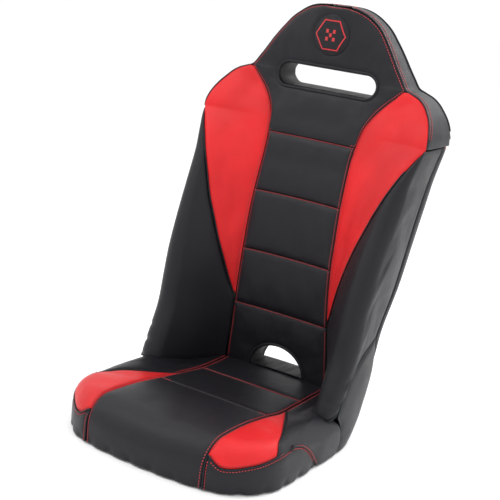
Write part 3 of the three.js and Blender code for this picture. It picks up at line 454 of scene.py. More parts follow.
# ---------------------------------------------------------------- finishes
class Nodes:
    """A short way to write a node tree: adds nodes and joins their sockets."""

    def __init__(self, name: str) -> None:
        """Starts a material whose tree holds only the shader and the output.

        Args:
            name: the material's name.
        """
        self.material = bpy.data.materials.new(name)
        self.material.use_nodes = True
        self.tree = self.material.node_tree
        self.shader = next(n for n in self.tree.nodes if n.type == "BSDF_PRINCIPLED")
        self.place = self.add("ShaderNodeTexCoord").outputs["Object"]

    def add(self, kind: str, inputs: dict | None = None, **settings: object) -> bpy.types.Node:
        """Returns a new node.

        Args:
            kind: the node's type.
            inputs: sockets by name or number, each given a value or an output to join.
            settings: the node's own properties.

        Returns:
            The node.
        """
        node = self.tree.nodes.new(kind)
        for key, value in settings.items():
            setattr(node, key, value)
        for key, value in (inputs or {}).items():
            if isinstance(value, bpy.types.NodeSocket):
                self.tree.links.new(value, node.inputs[key])
            else:
                node.inputs[key].default_value = value
        return node

    def ramp(self, factor: bpy.types.NodeSocket, *stops: tuple[float, float]) -> bpy.types.NodeSocket:
        """Returns a grey ramp of a factor.

        Args:
            factor: the socket that drives it.
            stops: pairs of place and grey value.

        Returns:
            The ramp's colour output.
        """
        node = self.add("ShaderNodeValToRGB", {"Fac": factor})
        elements = node.color_ramp.elements
        while len(elements) < len(stops):
            elements.new(0.5)
        for element, (place, grey) in zip(elements, stops):
            element.position = place
            element.color = (grey, grey, grey, 1)
        return node.outputs["Color"]

    def noise(self, scale: float, detail: float = 3.0, roughness: float = 0.5) -> bpy.types.NodeSocket:
        """Returns the grey output of a noise on the piece's own place."""
        inputs = {"Vector": self.place, "Scale": scale, "Detail": detail, "Roughness": roughness}
        return self.add("ShaderNodeTexNoise", inputs).outputs["Fac"]

    def blend(self, factor: object, first: object, second: object) -> bpy.types.NodeSocket:
        """Returns the mix of two colours by a factor.

        Args:
            factor: the share of the second colour, a number or a socket.
            first: the first colour, a value or a socket.
            second: the second colour, a value or a socket.

        Returns:
            The mix's colour output.
        """
        node = self.add("ShaderNodeMix", data_type="RGBA")
        for socket, value in ((0, factor), (6, first), (7, second)):
            if isinstance(value, bpy.types.NodeSocket):
                self.tree.links.new(value, node.inputs[socket])
            else:
                node.inputs[socket].default_value = value
        return node.outputs[2]

    def math(self, operation: str, first: object, second: object) -> bpy.types.NodeSocket:
        """Returns the result of a sum on two numbers."""
        return self.add("ShaderNodeMath", {0: first, 1: second}, operation=operation).outputs[0]

    def bump(self, height: bpy.types.NodeSocket, depth: float) -> bpy.types.NodeSocket:
        """Returns a normal bumped by a height, whose full scale is a depth in metres."""
        inputs = {"Height": height, "Distance": depth, "Strength": 1.0}
        return self.add("ShaderNodeBump", inputs).outputs["Normal"]

    def feed(self, socket: str, value: object) -> None:
        """Sets or joins a socket of the shader."""
        if isinstance(value, bpy.types.NodeSocket):
            self.tree.links.new(value, self.shader.inputs[socket])
        else:
            self.shader.inputs[socket].default_value = value


def rgb(r: float, g: float, b: float) -> tuple[float, float, float, float]:
    """Returns an opaque colour."""
    return (r, g, b, 1.0)


@dataclass(frozen=True)
class Vinyl:
    """A satin coated vinyl with a fine leather grain."""

    name: str
    colour: tuple[float, float, float]
    worn: tuple[float, float, float]
    roughness: float
    sheen: float
    grain: float = 0.00016

    def material(self) -> bpy.types.Material:
        """Returns the vinyl: grain cells and pores, faint blotches, and a scuffed crown."""
        tree = Nodes(self.name)
        cells = tree.add("ShaderNodeTexVoronoi", {"Vector": tree.place, "Scale": 720.0},
                         feature="DISTANCE_TO_EDGE").outputs["Distance"]
        creases = tree.ramp(cells, (0.0, 0.0), (0.22, 1.0))
        broad = tree.noise(230.0, 4.0, 0.6)
        blotch = tree.noise(9.0, 3.0)
        wear = tree.ramp(tree.noise(34.0, 6.0, 0.7), (0.5, 0.0), (0.78, 1.0))
        height = tree.math("MULTIPLY_ADD", broad, 0.8)
        tree.tree.links.new(creases, height.node.inputs[2])
        tree.feed("Normal", tree.bump(height, self.grain))
        dark = tuple(0.82 * c for c in self.colour)
        base = tree.blend(tree.ramp(blotch, (0.35, 0.0), (0.65, 1.0)), rgb(*dark), rgb(*self.colour))
        edge = tree.add("ShaderNodeNewGeometry").outputs["Pointiness"]
        ridge = tree.math("MULTIPLY", tree.ramp(edge, (0.505, 0.0), (0.56, 1.0)), wear)
        tree.feed("Base Color", tree.blend(ridge, base, rgb(*self.worn)))
        spread = tree.math("MULTIPLY_ADD", tree.noise(60.0, 4.0), 0.16)
        spread.node.inputs[2].default_value = self.roughness - 0.08
        tree.feed("Roughness", spread)
        tree.feed("Sheen Weight", self.sheen)
        tree.feed("Sheen Roughness", 0.45)
        tree.feed("Specular IOR Level", 0.25)
        return tree.material


@dataclass(frozen=True)
class Thread:
    """A twisted polyester sewing thread."""

    name: str
    colour: tuple[float, float, float]
    twist: float = 1500.0

    def material(self) -> bpy.types.Material:
        """Returns the thread: twisted plies with fuzz and uneven dye."""
        tree = Nodes(self.name)
        ply = tree.add("ShaderNodeTexWave", {"Vector": tree.place, "Scale": self.twist, "Distortion": 2.0},
                       bands_direction="DIAGONAL").outputs["Fac"]
        dark = rgb(*(0.55 * c for c in self.colour))
        shade = tree.blend(tree.noise(420.0, 3.0), dark, rgb(*self.colour))
        tree.feed("Base Color", tree.blend(tree.ramp(ply, (0.0, 0.0), (1.0, 0.35)), shade, dark))
        tree.feed("Normal", tree.bump(ply, 0.00008))
        tree.feed("Roughness", 0.62)
        tree.feed("Sheen Weight", 0.25)
        return tree.material


@dataclass(frozen=True)
class Weave:
    """A woven strap or zip tape."""

    name: str
    colour: tuple[float, float, float]
    ribs: float = 210.0

    def material(self) -> bpy.types.Material:
        """Returns the weave: ribs one way, yarns the other, with lint and painted shade between the yarns."""
        tree = Nodes(self.name)
        across = tree.add("ShaderNodeTexWave", {"Vector": tree.place, "Scale": self.ribs},
                          bands_direction="X").outputs["Fac"]
        along = tree.add("ShaderNodeTexWave", {"Vector": tree.place, "Scale": self.ribs * 0.6},
                         bands_direction="Z").outputs["Fac"]
        yarn = tree.math("MULTIPLY", across, along)
        lint = tree.noise(900.0, 4.0, 0.7)
        # Painted shade: the low places between the raised yarns are darkened to 0.4 of the colour.
        base = tree.blend(yarn, rgb(*(0.4 * c for c in self.colour)), rgb(*self.colour))
        pale = rgb(*(min(1.0, 1.9 * c + 0.01) for c in self.colour))
        tree.feed("Base Color", tree.blend(tree.ramp(lint, (0.6, 0.0), (0.8, 0.5)), base, pale))
        tree.feed("Normal", tree.bump(yarn, 0.0004))
        tree.feed("Roughness", tree.ramp(lint, (0.2, 0.7), (0.8, 0.95)))
        return tree.material


@dataclass(frozen=True)
class Foam:
    """Moulded open-cell foam with its skin."""

    name: str
    colour: tuple[float, float, float]

    def material(self) -> bpy.types.Material:
        """Returns the foam: pores darkened with painted shade, a skin and patches of ageing."""
        tree = Nodes(self.name)
        pores = tree.add("ShaderNodeTexVoronoi", {"Vector": tree.place, "Scale": 380.0}).outputs["Distance"]
        patch = tree.noise(14.0, 4.0)
        aged_tone_and_pore_shade = rgb(self.colour[0] * 0.85, self.colour[1] * 0.72, self.colour[2] * 0.45)
        base = tree.blend(patch, rgb(*self.colour), aged_tone_and_pore_shade)
        # Painted shade: the pits of the pores are blended towards the darker tone; the broad patches are
        # ageing of the foam.
        tree.feed("Base Color", tree.blend(tree.ramp(pores, (0.0, 0.5), (0.4, 0.0)), base, aged_tone_and_pore_shade))
        tree.feed("Normal", tree.bump(pores, 0.0006))
        tree.feed("Roughness", tree.ramp(patch, (0.3, 0.82), (0.7, 0.96)))
        return tree.material


@dataclass(frozen=True)
class Metal:
    """A coated or plated metal, worn along its edges."""

    name: str
    colour: tuple[float, float, float]
    worn: tuple[float, float, float]
    metallic: float
    roughness: float
    texture: float
    relief: float

    def material(self) -> bpy.types.Material:
        """Returns the metal: orange peel or grain, stains, and bright edges."""
        tree = Nodes(self.name)
        peel = tree.noise(self.texture, 4.0, 0.6)
        stain = tree.noise(26.0, 5.0, 0.6)
        edge = tree.add("ShaderNodeNewGeometry").outputs["Pointiness"]
        rubbed = tree.math("MULTIPLY", tree.ramp(edge, (0.52, 0.0), (0.6, 1.0)), tree.noise(90.0, 5.0, 0.7))
        dull = rgb(*(0.7 * c for c in self.colour))
        base = tree.blend(tree.ramp(stain, (0.4, 0.0), (0.7, 1.0)), rgb(*self.colour), dull)
        tree.feed("Base Color", tree.blend(rubbed, base, rgb(*self.worn)))
        tree.feed("Normal", tree.bump(peel, self.relief))
        tree.feed("Metallic", self.metallic)
        tree.feed("Roughness", tree.ramp(stain, (0.3, self.roughness), (0.7, self.roughness + 0.14)))
        return tree.material


class Finish(Enum):
    """The seat's finishes, each with its maker and the record's material slot."""

    BLACK_VINYL = (Vinyl("black_vinyl_cover", (0.0064, 0.0064, 0.0094), (0.018, 0.018, 0.023), 0.37, 0.02),
                   "black_vinyl")
    LINING = (Vinyl("black_vinyl_lining", (0.007, 0.007, 0.008), (0.015, 0.015, 0.017), 0.5, 0.0),
              "black_vinyl")
    WELT = (Vinyl("dark_welt", (0.004, 0.009, 0.012), (0.015, 0.028, 0.034), 0.33, 0.02, 0.0001),
            "black_vinyl")
    RED_VINYL = (Vinyl("red_vinyl_cover", (0.62, 0.009, 0.012), (0.7, 0.03, 0.03), 0.36, 0.02), "red_vinyl")
    RED_THREAD = (Thread("red_thread", (0.8, 0.02, 0.03)), "badge_thread")
    DARK_THREAD = (Thread("dark_red_thread", (0.16, 0.006, 0.01)), "badge_thread")
    WEBBING = (Weave("black_webbing", (0.03, 0.03, 0.032)), "webbing")
    ZIP_TAPE = (Weave("black_zip_tape", (0.016, 0.016, 0.018), 420.0), "zip_tape")
    FOAM = (Foam("moulded_foam", (0.035, 0.033, 0.031)), "foam")
    FRAME_PAINT = (Metal("black_powder_coat", (0.012, 0.012, 0.013), (0.12, 0.12, 0.12), 0.25, 0.42,
                         700.0, 0.00012), "frame_paint")
    STEEL = (Metal("zinc_plated_steel", (0.5, 0.5, 0.48), (0.75, 0.75, 0.73), 1.0, 0.32, 300.0, 0.00005),
             "mount_steel")
    ZIP_METAL = (Metal("nickel_zip_metal", (0.56, 0.56, 0.55), (0.8, 0.8, 0.8), 1.0, 0.22, 500.0, 0.00003),
                 "zip_metal")

    @property
    def material(self) -> bpy.types.Material:
        """Returns the finish's material, made the first time that it is asked for."""
        maker = self.value[0]
        return bpy.data.materials.get(maker.name) or maker.material()

    @property
    def slot(self) -> str:
        """Returns the record's material slot."""
        return self.value[1]


# ---------------------------------------------------------------- the workshop: sheets, stitches and welts
def finish_piece(
    name: str, mesh: bpy.types.Mesh, finish: Finish, nodes: Sequence[str] = (),
    body: str = BODY,
) -> bpy.types.Object:
    """Dresses a mesh and adds it to the seat.

    Args:
        name: the piece's name.
        mesh: its mesh, in place.
        finish: its finish.
        nodes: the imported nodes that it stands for.
        body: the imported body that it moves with.

    Returns:
        The piece.
    """
    piece = bpy.data.objects.new(name, mesh)
    bpy.context.scene.collection.objects.link(piece)
    mesh.materials.clear()
    mesh.materials.append(finish.material)
    mesh.polygons.foreach_set("use_smooth", [True] * len(mesh.polygons))
    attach(piece, body)
    if nodes:
        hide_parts(*nodes)
    log.info("%s: %d faces", name, len(mesh.polygons))
    return piece


def to_mesh(name: str, bm: bmesh.types.BMesh) -> bpy.types.Mesh:
    """Returns a mesh of a bmesh, which is freed.

    Args:
        name: the mesh's name.
        bm: the bmesh.

    Returns:
        The mesh.
    """
    mesh = bpy.data.meshes.new(name)
    bm.to_mesh(mesh)
    bm.free()
    return mesh


def grid_of(points: Array, wall: float = 0.0) -> bmesh.types.BMesh:
    """Returns a sheet through a net of points, given a wall behind it.

    Args:
        points: the net, rows by columns by three, in metres; its last column joins the first when equal.
        wall: thickness in metres, away from the sheet's face.

    Returns:
        The sheet, its face by the right hand from columns to rows.
    """
    rows, columns = points.shape[0] - 1, points.shape[1] - 1
    bm = bmesh.new()
    bmesh.ops.create_grid(bm, x_segments=columns, y_segments=rows, size=0.5)
    place = bm.verts.layers.int.new("place")
    for vert in bm.verts:
        i, j = round((vert.co.x + 0.5) * columns), round((vert.co.y + 0.5) * rows)
        vert.co = points[j, i]
        vert[place] = j * (columns + 1) + i
    if np.allclose(points[:, 0], points[:, -1], atol=1e-7):
        bmesh.ops.remove_doubles(bm, verts=bm.verts, dist=1e-6)
    if wall:
        inwards = -wall * normals_of(points).reshape(-1, 3)
        fresh = bmesh.ops.extrude_face_region(bm, geom=bm.faces)["geom"]
        for vert in (part for part in fresh if isinstance(part, bmesh.types.BMVert)):
            vert.co += Vector(inwards[vert[place]])
        bmesh.ops.recalc_face_normals(bm, faces=bm.faces)
    return bm


def cut_away(mesh: bpy.types.Mesh, cutter: bpy.types.Mesh) -> bpy.types.Mesh:
    """Returns a closed mesh with another closed mesh cut away from it.

    Args:
        mesh: the mesh that is cut.
        cutter: the mesh that is cut away.

    Returns:
        The mesh that is left.
    """
    whole = bpy.data.objects.new("whole", mesh)
    tool = bpy.data.objects.new("tool", cutter)
    for part in (whole, tool):
        bpy.context.scene.collection.objects.link(part)
    boolean = whole.modifiers.new("opening", "BOOLEAN")
    boolean.operation = "DIFFERENCE"
    boolean.solver = "EXACT"
    boolean.object = tool
    result = bpy.data.meshes.new_from_object(whole.evaluated_get(bpy.context.evaluated_depsgraph_get()))
    for part in (whole, tool):
        bpy.data.objects.remove(part)
    return result


def normals_of(points: Array) -> Array:
    """Returns the unit normals of a net of points, by the right hand from columns to rows.

    Args:
        points: the net, rows by columns by three.

    Returns:
        One normal for each point.
    """
    closed = np.allclose(points[:, 0], points[:, -1], atol=1e-7)
    across = np.gradient(points, axis=1)
    if closed:
        ends = (points[:, 1] - points[:, -2]) / 2
        across[:, 0] = across[:, -1] = ends
    return unit(np.cross(across, np.gradient(points, axis=0)))


SMOOTHING_PASSES = 14


def resample(field_values: Array, rows: int, columns: int) -> Array:
    """Returns a coarse net of numbers on a finer net, smoothed.

    Args:
        field_values: the coarse numbers, rows by columns.
        rows: rows of cells wanted.
        columns: columns of cells wanted.

    Returns:
        The numbers on the finer net.
    """
    source_v = np.linspace(0, 1, field_values.shape[0])
    source_u = np.linspace(0, 1, field_values.shape[1])
    v, u = np.linspace(0, 1, rows + 1), np.linspace(0, 1, columns + 1)
    tall = np.array([np.interp(v, source_v, column) for column in field_values.T]).T
    fine = np.array([np.interp(u, source_u, row) for row in tall])
    for _ in range(SMOOTHING_PASSES):
        padded_rows = np.pad(fine, ((1, 1), (0, 0)), mode="edge")
        fine = (padded_rows[:-2] + 2 * padded_rows[1:-1] + padded_rows[2:]) / 4
        padded_columns = np.pad(fine, ((0, 0), (1, 1)), mode="edge")
        fine = (padded_columns[:, :-2] + 2 * padded_columns[:, 1:-1] + padded_columns[:, 2:]) / 4
    return fine


def ripple(points: Array, waves: float, seed: float) -> Array:
    """Returns a smooth noise over a net of points.

    Args:
        points: the net, in metres.
        waves: waves for each metre.
        seed: a shift that makes one piece's noise unlike another's.

    Returns:
        Numbers from about -1 to 1.
    """
    flat = points.reshape(-1, 3) * waves + seed
    values = [noise.noise(Vector(p)) for p in flat]
    return np.array(values).reshape(points.shape[:-1])


@dataclass(frozen=True)
class Blower:
    """Swells a sewn panel by cloth simulation: its seams and its backing stay where they are."""

    backing: float = 0.012
    frames: int = 20
    pressure: float = 4.0
    quality: int = 4
    mass: float = 0.3
    stretch_stiffness: float = 12.0
    bending_stiffness: float = 2.0
    shrink: float = -0.006
    typical: float = 98.0

    def swell(self, points: Array, held: Array, cap: float) -> Array:
        """Returns how far each point of a net rises.

        Args:
            points: the net, in metres.
            held: true where the panel is sewn down.
            cap: the most that a point may rise, in metres.

        Returns:
            The rises, in metres.
        """
        nets = {tuple(round(c, 6) for c in p): k for k, p in enumerate(points.reshape(-1, 3))}
        mesh = to_mesh("blown", grid_of(points, self.backing))
        cloth = bpy.data.objects.new("blown", mesh)
        bpy.context.scene.collection.objects.link(cloth)
        home = np.array([v.co[:] for v in mesh.vertices])
        order = [nets.get(tuple(round(c, 6) for c in p), -1) for p in home]
        pins = cloth.vertex_groups.new(name="sewn")
        flat_held = held.reshape(-1)
        pins.add([k for k, n in enumerate(order) if n < 0 or flat_held[n]], 1.0, "REPLACE")
        self.run(cloth)
        depsgraph = bpy.context.evaluated_depsgraph_get()
        blown = cloth.evaluated_get(depsgraph).data
        moved = np.array([v.co[:] for v in blown.vertices])
        rise = np.zeros(points.shape[0] * points.shape[1])
        normals = normals_of(points).reshape(-1, 3)
        for k, n in enumerate(order):
            if n >= 0:
                rise[n] = np.dot(moved[k] - home[k], normals[n])
        log.info("blown panel of %d points, highest rise %.1f mm", len(home), np.abs(rise).max() / MM)
        bpy.data.objects.remove(cloth)
        bpy.context.scene.frame_set(1)
        rise = rise.reshape(points.shape[:2])
        top = max(np.percentile(np.abs(rise), self.typical), 1e-6)
        return np.clip(rise * np.sign(rise.sum()) * min(1.0, cap / top), 0, cap)

    def run(self, cloth: bpy.types.Object) -> None:
        """Runs the simulation.

        Args:
            cloth: the panel, its held points in the group that is named sewn.
        """
        settings = cloth.modifiers.new("cloth", "CLOTH").settings
        settings.quality = self.quality
        settings.mass = self.mass
        settings.tension_stiffness = settings.compression_stiffness = self.stretch_stiffness
        settings.bending_stiffness = self.bending_stiffness
        settings.shrink_min = self.shrink
        settings.vertex_group_mass = "sewn"
        settings.use_pressure = True
        settings.uniform_pressure_force = self.pressure
        settings.effector_weights.gravity = 0
        scene = bpy.context.scene
        for step in range(1, self.frames + 1):
            scene.frame_set(step)


BLOWER = Blower()


class Edge(Enum):
    """An edge of a panel's net."""

    LEFT = 0
    RIGHT = 1
    BOTTOM = 2
    TOP = 3


# All in millimetres on the panel, but for the waves, which are counted by the metre, and the share.
DOME_REACH = 45.0  # seam to the crown of a panel that is not blown
FAR = 60.0  # the longest distance from a seam that matters
LIFT_REACH = 14.0  # seam to where the puff is whole
CREASE_DEPTH, CREASE_WIDTH = 0.6, 1.3
GATHER_LINE, GATHER_REACH, GATHER_WAVES = 6.0, 9.0, 95.0
SLACK, SLACK_WAVES = 0.3, 11.0  # wander of the whole cover
FOLD_REACH = 8.0
JOIN_SHARE = 0.04  # share of a ring over which its two ends are blended


@dataclass
class Panel:
    """A sewn cover panel on its quilting foam, drawn by a map of the pattern."""

    name: str
    surface: SurfaceMap
    facing: tuple[float, float, float]
    finish: Finish
    node: str
    rise: float = 5.0
    tuck: float = 3.0
    reach: float = 5.0
    thickness: float = 4.6
    spacing: float = 3.2
    fill: float = 0.6
    free: tuple[Edge, ...] = ()
    creases: tuple[tuple[Edge, float], ...] = ()
    folds: Callable[[Array, Array, Array], Array] | None = None
    gathers: float = 0.35
    cell: float = 8.0
    cutter: bmesh.types.BMesh | None = None
    net: Array = field(init=False)
    normals: Array = field(init=False)
    distance: dict[Edge, Array] = field(init=False)

    def sample(self, spacing: float) -> Array:
        """Returns a net of pattern points, its columns turned so that it faces outwards.

        Args:
            spacing: size of a cell, in millimetres.

        Returns:
            The net, in pattern millimetres.
        """
        v, u = np.meshgrid(np.linspace(0, 1, 21), np.linspace(0, 1, 21), indexing="ij")
        rough = self.surface(u, v)
        wide = np.linalg.norm(np.diff(rough, axis=1), axis=-1).sum(axis=1).max()
        tall = np.linalg.norm(np.diff(rough, axis=0), axis=-1).sum(axis=0).max()
        columns, rows = max(6, round(wide / spacing)), max(4, round(tall / spacing))
        v, u = np.meshgrid(np.linspace(0, 1, rows + 1), np.linspace(0, 1, columns + 1), indexing="ij")
        return self.surface(u, v)

    def measure(self, points: Array) -> dict[Edge, Array]:
        """Returns the distance of each point of a net from each of its edges.

        Args:
            points: the net, in pattern millimetres.

        Returns:
            The distances along the net, by edge.
        """
        across = np.linalg.norm(np.diff(points, axis=1), axis=-1)
        along = np.linalg.norm(np.diff(points, axis=0), axis=-1)
        left = np.pad(np.cumsum(across, axis=1), ((0, 0), (1, 0)))
        low = np.pad(np.cumsum(along, axis=0), ((1, 0), (0, 0)))
        return {Edge.LEFT: left, Edge.RIGHT: left[:, -1:] - left, Edge.BOTTOM: low, Edge.TOP: low[-1:] - low}

    def sewn(self, distance: dict[Edge, Array]) -> Array:
        """Returns the distance of each point from the nearest sewn edge.

        Args:
            distance: the distances from each edge.

        Returns:
            The least of them.
        """
        edges = [edge for edge in Edge if edge not in self.free]
        nearest = np.full(distance[Edge.LEFT].shape, FAR)
        for edge in edges:
            nearest = np.minimum(nearest, distance[edge])
        return nearest

    def build(self) -> "Panel":
        """Shapes the panel and adds it to the seat.

        Returns:
            The panel.
        """
        coarse = self.sample(self.cell)
        turned = self.turned(coarse)
        dome = smooth(self.sewn(self.measure(coarse)) / DOME_REACH) ** 0.7 * self.rise * MM
        if self.rise > 0:
            held = self.sewn(self.measure(coarse)) < self.cell * 0.8
            outwards = GRADE.place(coarse)[:, ::turned]
            dome = BLOWER.swell(outwards, held[:, ::turned], self.rise * MM)[:, ::turned]
        pattern = self.sample(self.spacing)
        rows, columns = pattern.shape[0] - 1, pattern.shape[1] - 1
        self.distance = self.measure(pattern)
        base = GRADE.place(pattern)
        nearest = self.sewn(self.distance)
        lift = resample(dome, rows, columns) * smooth(nearest / LIFT_REACH)
        if np.allclose(pattern[:, 0], pattern[:, -1], atol=1e-6):
            around = np.linspace(0, 1, columns + 1)
            share = smooth(np.minimum(around, around[::-1]) / JOIN_SHARE)
            lift = lerp((lift[:, :1] + lift[:, -1:]) / 2, lift, share)
        seam = -self.tuck * np.exp(-((nearest / self.reach) ** 1.3))
        for edge, line in self.creases:
            seam -= CREASE_DEPTH * np.exp(-(((self.distance[edge] - line) / CREASE_WIDTH) ** 2))
        seed = float(sum(ord(letter) for letter in self.name) % 97)
        gather = ripple(base, GATHER_WAVES, seed) * np.exp(-((nearest - GATHER_LINE) / GATHER_REACH) ** 2)
        seam += self.gathers * gather + SLACK * ripple(base, SLACK_WAVES, seed)
        v, u = np.meshgrid(np.linspace(0, 1, rows + 1), np.linspace(0, 1, columns + 1), indexing="ij")
        if self.folds is not None:
            seam += self.folds(u, v, pattern) * smooth(nearest / FOLD_REACH)
        normals = normals_of(base) * turned
        self.net = base + normals * (lift + seam * MM)[..., None]
        self.normals = normals_of(self.net) * turned
        mesh = to_mesh(self.name, grid_of(self.net[:, ::turned], self.thickness * MM))
        if self.cutter is not None:
            mesh = cut_away(mesh, to_mesh("cutter", self.cutter))
        finish_piece(self.name, mesh, self.finish, [self.node])
        return self

    def turned(self, points: Array) -> int:
        """Returns 1 where the net already faces outwards and -1 where its columns must be turned."""
        middle = normals_of(points)[points.shape[0] // 2, points.shape[1] // 2]
        return 1 if np.dot(middle, self.facing) > 0 else -1

    def run(self, edge: Edge, line: float, start: float = 0.0, end: float = 1.0) -> tuple[Array, Array]:
        """Returns a line on the panel at a distance from one of its edges.

        Args:
            edge: the edge.
            line: the distance, in millimetres.
            start: share of the edge where the line starts.
            end: share where it ends.

        Returns:
            The line's points and the surface's normals there.
        """
        distance, net, normals = self.distance[edge], self.net, self.normals
        if edge in (Edge.BOTTOM, Edge.TOP):
            distance, net, normals = distance.T, net.transpose(1, 0, 2), normals.transpose(1, 0, 2)
        if edge in (Edge.RIGHT, Edge.TOP):
            distance, net, normals = distance[:, ::-1], net[:, ::-1], normals[:, ::-1]
        count = len(net)
        points, faces = [], []
        for k in range(round(start * (count - 1)), round(end * (count - 1)) + 1):
            row = distance[k]
            if row[-1] < line * 1.6:
                continue
            i = min(max(int(np.searchsorted(row, line)), 1), len(row) - 1)
            share = np.clip((line - row[i - 1]) / max(row[i] - row[i - 1], 1e-9), 0, 1)
            points.append(lerp(net[k, i - 1], net[k, i], share))
            faces.append(unit(lerp(normals[k, i - 1], normals[k, i], share)))
        return np.array(points), np.array(faces)


@dataclass
class Stitching:
    """Rows of topstitching, made as one piece of many short stitches."""

    name: str
    finish: Finish = Finish.RED_THREAD
    length: float = 3.4
    gap: float = 2.2
    gauge: float = 1.7
    bm: bmesh.types.BMesh = field(default_factory=bmesh.new)

    def sew(self, line: tuple[Array, Array]) -> None:
        """Sews one row.

        Args:
            line: the row's points and the surface's normals there.
        """
        points, normals = line
        if len(points) < 2:
            return
        steps = np.linalg.norm(np.diff(points, axis=0), axis=1)
        run = np.concatenate([[0.0], np.cumsum(steps)])
        pitch = (self.length + self.gap) * MM
        for k in range(int(run[-1] / pitch)):
            ends = [k * pitch + self.gap * MM / 2, (k + 1) * pitch - self.gap * MM / 2]
            first, last = (np.array([np.interp(e, run, points[:, a]) for a in range(3)]) for e in ends)
            middle = np.array([np.interp(sum(ends) / 2, run, normals[:, a]) for a in range(3)])
            up = Vector(middle).normalized()
            along = Vector(last - first)
            centre = Vector(first + last) / 2 + up * self.gauge * MM * 0.3
            self.stitch(centre, along, up)

    def stitch(self, centre: Vector, along: Vector, up: Vector) -> None:
        """Adds one stitch with rounded ends.

        Args:
            centre: its middle.
            along: from its one end to the other.
            up: away from the cover.
        """
        half = along.length / 2
        along = along.normalized()
        across = up.cross(along).normalized()
        up = along.cross(across)
        matrix = Matrix((along * half, across * self.gauge * MM / 2, up * self.gauge * MM / 2)).transposed()
        matrix = Matrix.Translation(centre) @ matrix.to_4x4()
        turn = Matrix.Rotation(math.pi / 2, 4, "Y")
        bmesh.ops.create_uvsphere(self.bm, u_segments=6, v_segments=5, radius=1.0, matrix=matrix @ turn)

    def done(self) -> bpy.types.Object:
        """Returns the finished rows as a piece of the seat."""
        return finish_piece(self.name, to_mesh(self.name, self.bm), self.finish)


@dataclass
class Welt:
    """A covered cord sewn into a seam."""

    name: str
    finish: Finish = Finish.WELT
    radius: float = 1.5
    runs: list[Array] = field(default_factory=list)

    def lay(self, line: tuple[Array, Array], lift: float = 0.0) -> None:
        """Lays a length of cord along a line.

        Args:
            line: the line's points and the surface's normals there.
            lift: height of the cord's middle over the line, in millimetres.
        """
        points, normals = line
        if len(points) > 2:
            self.runs.append(points + normals * lift * MM)

    def done(self) -> bpy.types.Object:
        """Returns the finished cord as a piece of the seat."""
        curve = bpy.data.curves.new(self.name, "CURVE")
        curve.dimensions = "3D"
        curve.bevel_depth = self.radius * MM
        curve.bevel_resolution = 2
        curve.use_fill_caps = True
        for points in self.runs:
            spline = curve.splines.new("POLY")
            spline.points.add(len(points) - 1)
            spline.points.foreach_set("co", np.pad(points, ((0, 0), (0, 1)), constant_values=1).ravel())
        holder = bpy.data.objects.new(self.name + "_path", curve)
        bpy.context.scene.collection.objects.link(holder)
        mesh = bpy.data.meshes.new_from_object(holder.evaluated_get(bpy.context.evaluated_depsgraph_get()))
        bpy.data.objects.remove(holder)
        return finish_piece(self.name, mesh, self.finish)


# ---------------------------------------------------------------- cover of the back
GAP = 0.3  # half of the gap between two sewn panels
STITCH_LINE = 4.2  # topstitching to its seam
BADGE_LEVEL = 792.0  # height of the badge's middle


def slot_rim(x: Array, z: Array, margin: float) -> tuple[Array, Array]:
    """Returns the harness opening's rim nearest to points of the face.

    Args:
        x: distances from the centre plane.
        z: heights.
        margin: how far the rim is grown.

    Returns:
        The rim's x and z.
    """
    slot = SLOT
    reach = slot.half_length - slot.half_height
    axis = np.clip(x, -reach, reach)
    away = np.maximum(np.hypot(x - axis, z - slot.level), 1e-6)
    radius = slot.half_height + margin
    return axis + (x - axis) / away * radius, slot.level + (z - slot.level) / away * radius


@dataclass(frozen=True)
class HarnessSlot:
    """Sizes of the shoulder harness opening."""

    half_length: float = 117.0
    half_height: float = 25.0
    level: float = 700.0


@dataclass(frozen=True)
class BeltArch:
    """Sizes of the lap belt opening."""

    half_width: float = 67.0
    rise: float = 54.0
    floor: float = 72.0


SLOT = HarnessSlot()
ARCH = BeltArch()


def upper_outline(floor: float, side: Callable[[Array], Array], margin: float) -> Spline:
    """Returns the closed outline of a panel round the harness opening.

    Args:
        floor: height of its lower edge.
        side: half width of its sides by height.
        margin: how far the outline is drawn in.

    Returns:
        The outline, from the middle of the lower edge up the right side and round.
    """
    rise = np.linspace(floor, BACK.neck - 6, 12)
    head_x, head_z = HEAD_CURVE(np.linspace(HEAD_START, 1, 30))
    x = np.concatenate([np.linspace(0, float(side(floor)), 6)[:-1], side(rise), head_x])
    z = np.concatenate([np.full(5, floor), rise, head_z])
    x = np.concatenate([x, -x[-2::-1]])
    z = np.concatenate([z, z[-2::-1]])
    tangent = np.gradient(np.stack([x, z], axis=1), axis=0)
    tangent[0] = tangent[-1] = (1, 0)
    tangent = unit(tangent)
    return Spline(np.stack([x - tangent[:, 1] * margin, z + tangent[:, 0] * margin], axis=1), 6)


HEAD_SHARES = np.linspace(0, 1, 2001)
HEAD_START = float(HEAD_SHARES[HEAD_CURVE(HEAD_SHARES)[1] <= BACK.neck][-1])


def ring_surface(outline: Spline, margin: float, face: SurfaceMap) -> SurfaceMap:
    """Returns the map of a ring-shaped panel: round it by u, outwards by v.

    Args:
        outline: its outer outline.
        margin: how far its inner edge stays from the opening.
        face: the map from x and z to the face that it lies on.

    Returns:
        The map.
    """

    def surface(u: Array, v: Array) -> Array:
        """Returns points of the ring.

        Args:
            u: shares round the ring.
            v: shares from the opening's rim to the outline.

        Returns:
            The points.
        """
        x, z = outline(u % 1.0)
        rim_x, rim_z = slot_rim(x, z, margin)
        return face(lerp(rim_x, x, v), lerp(rim_z, z, v))

    return surface


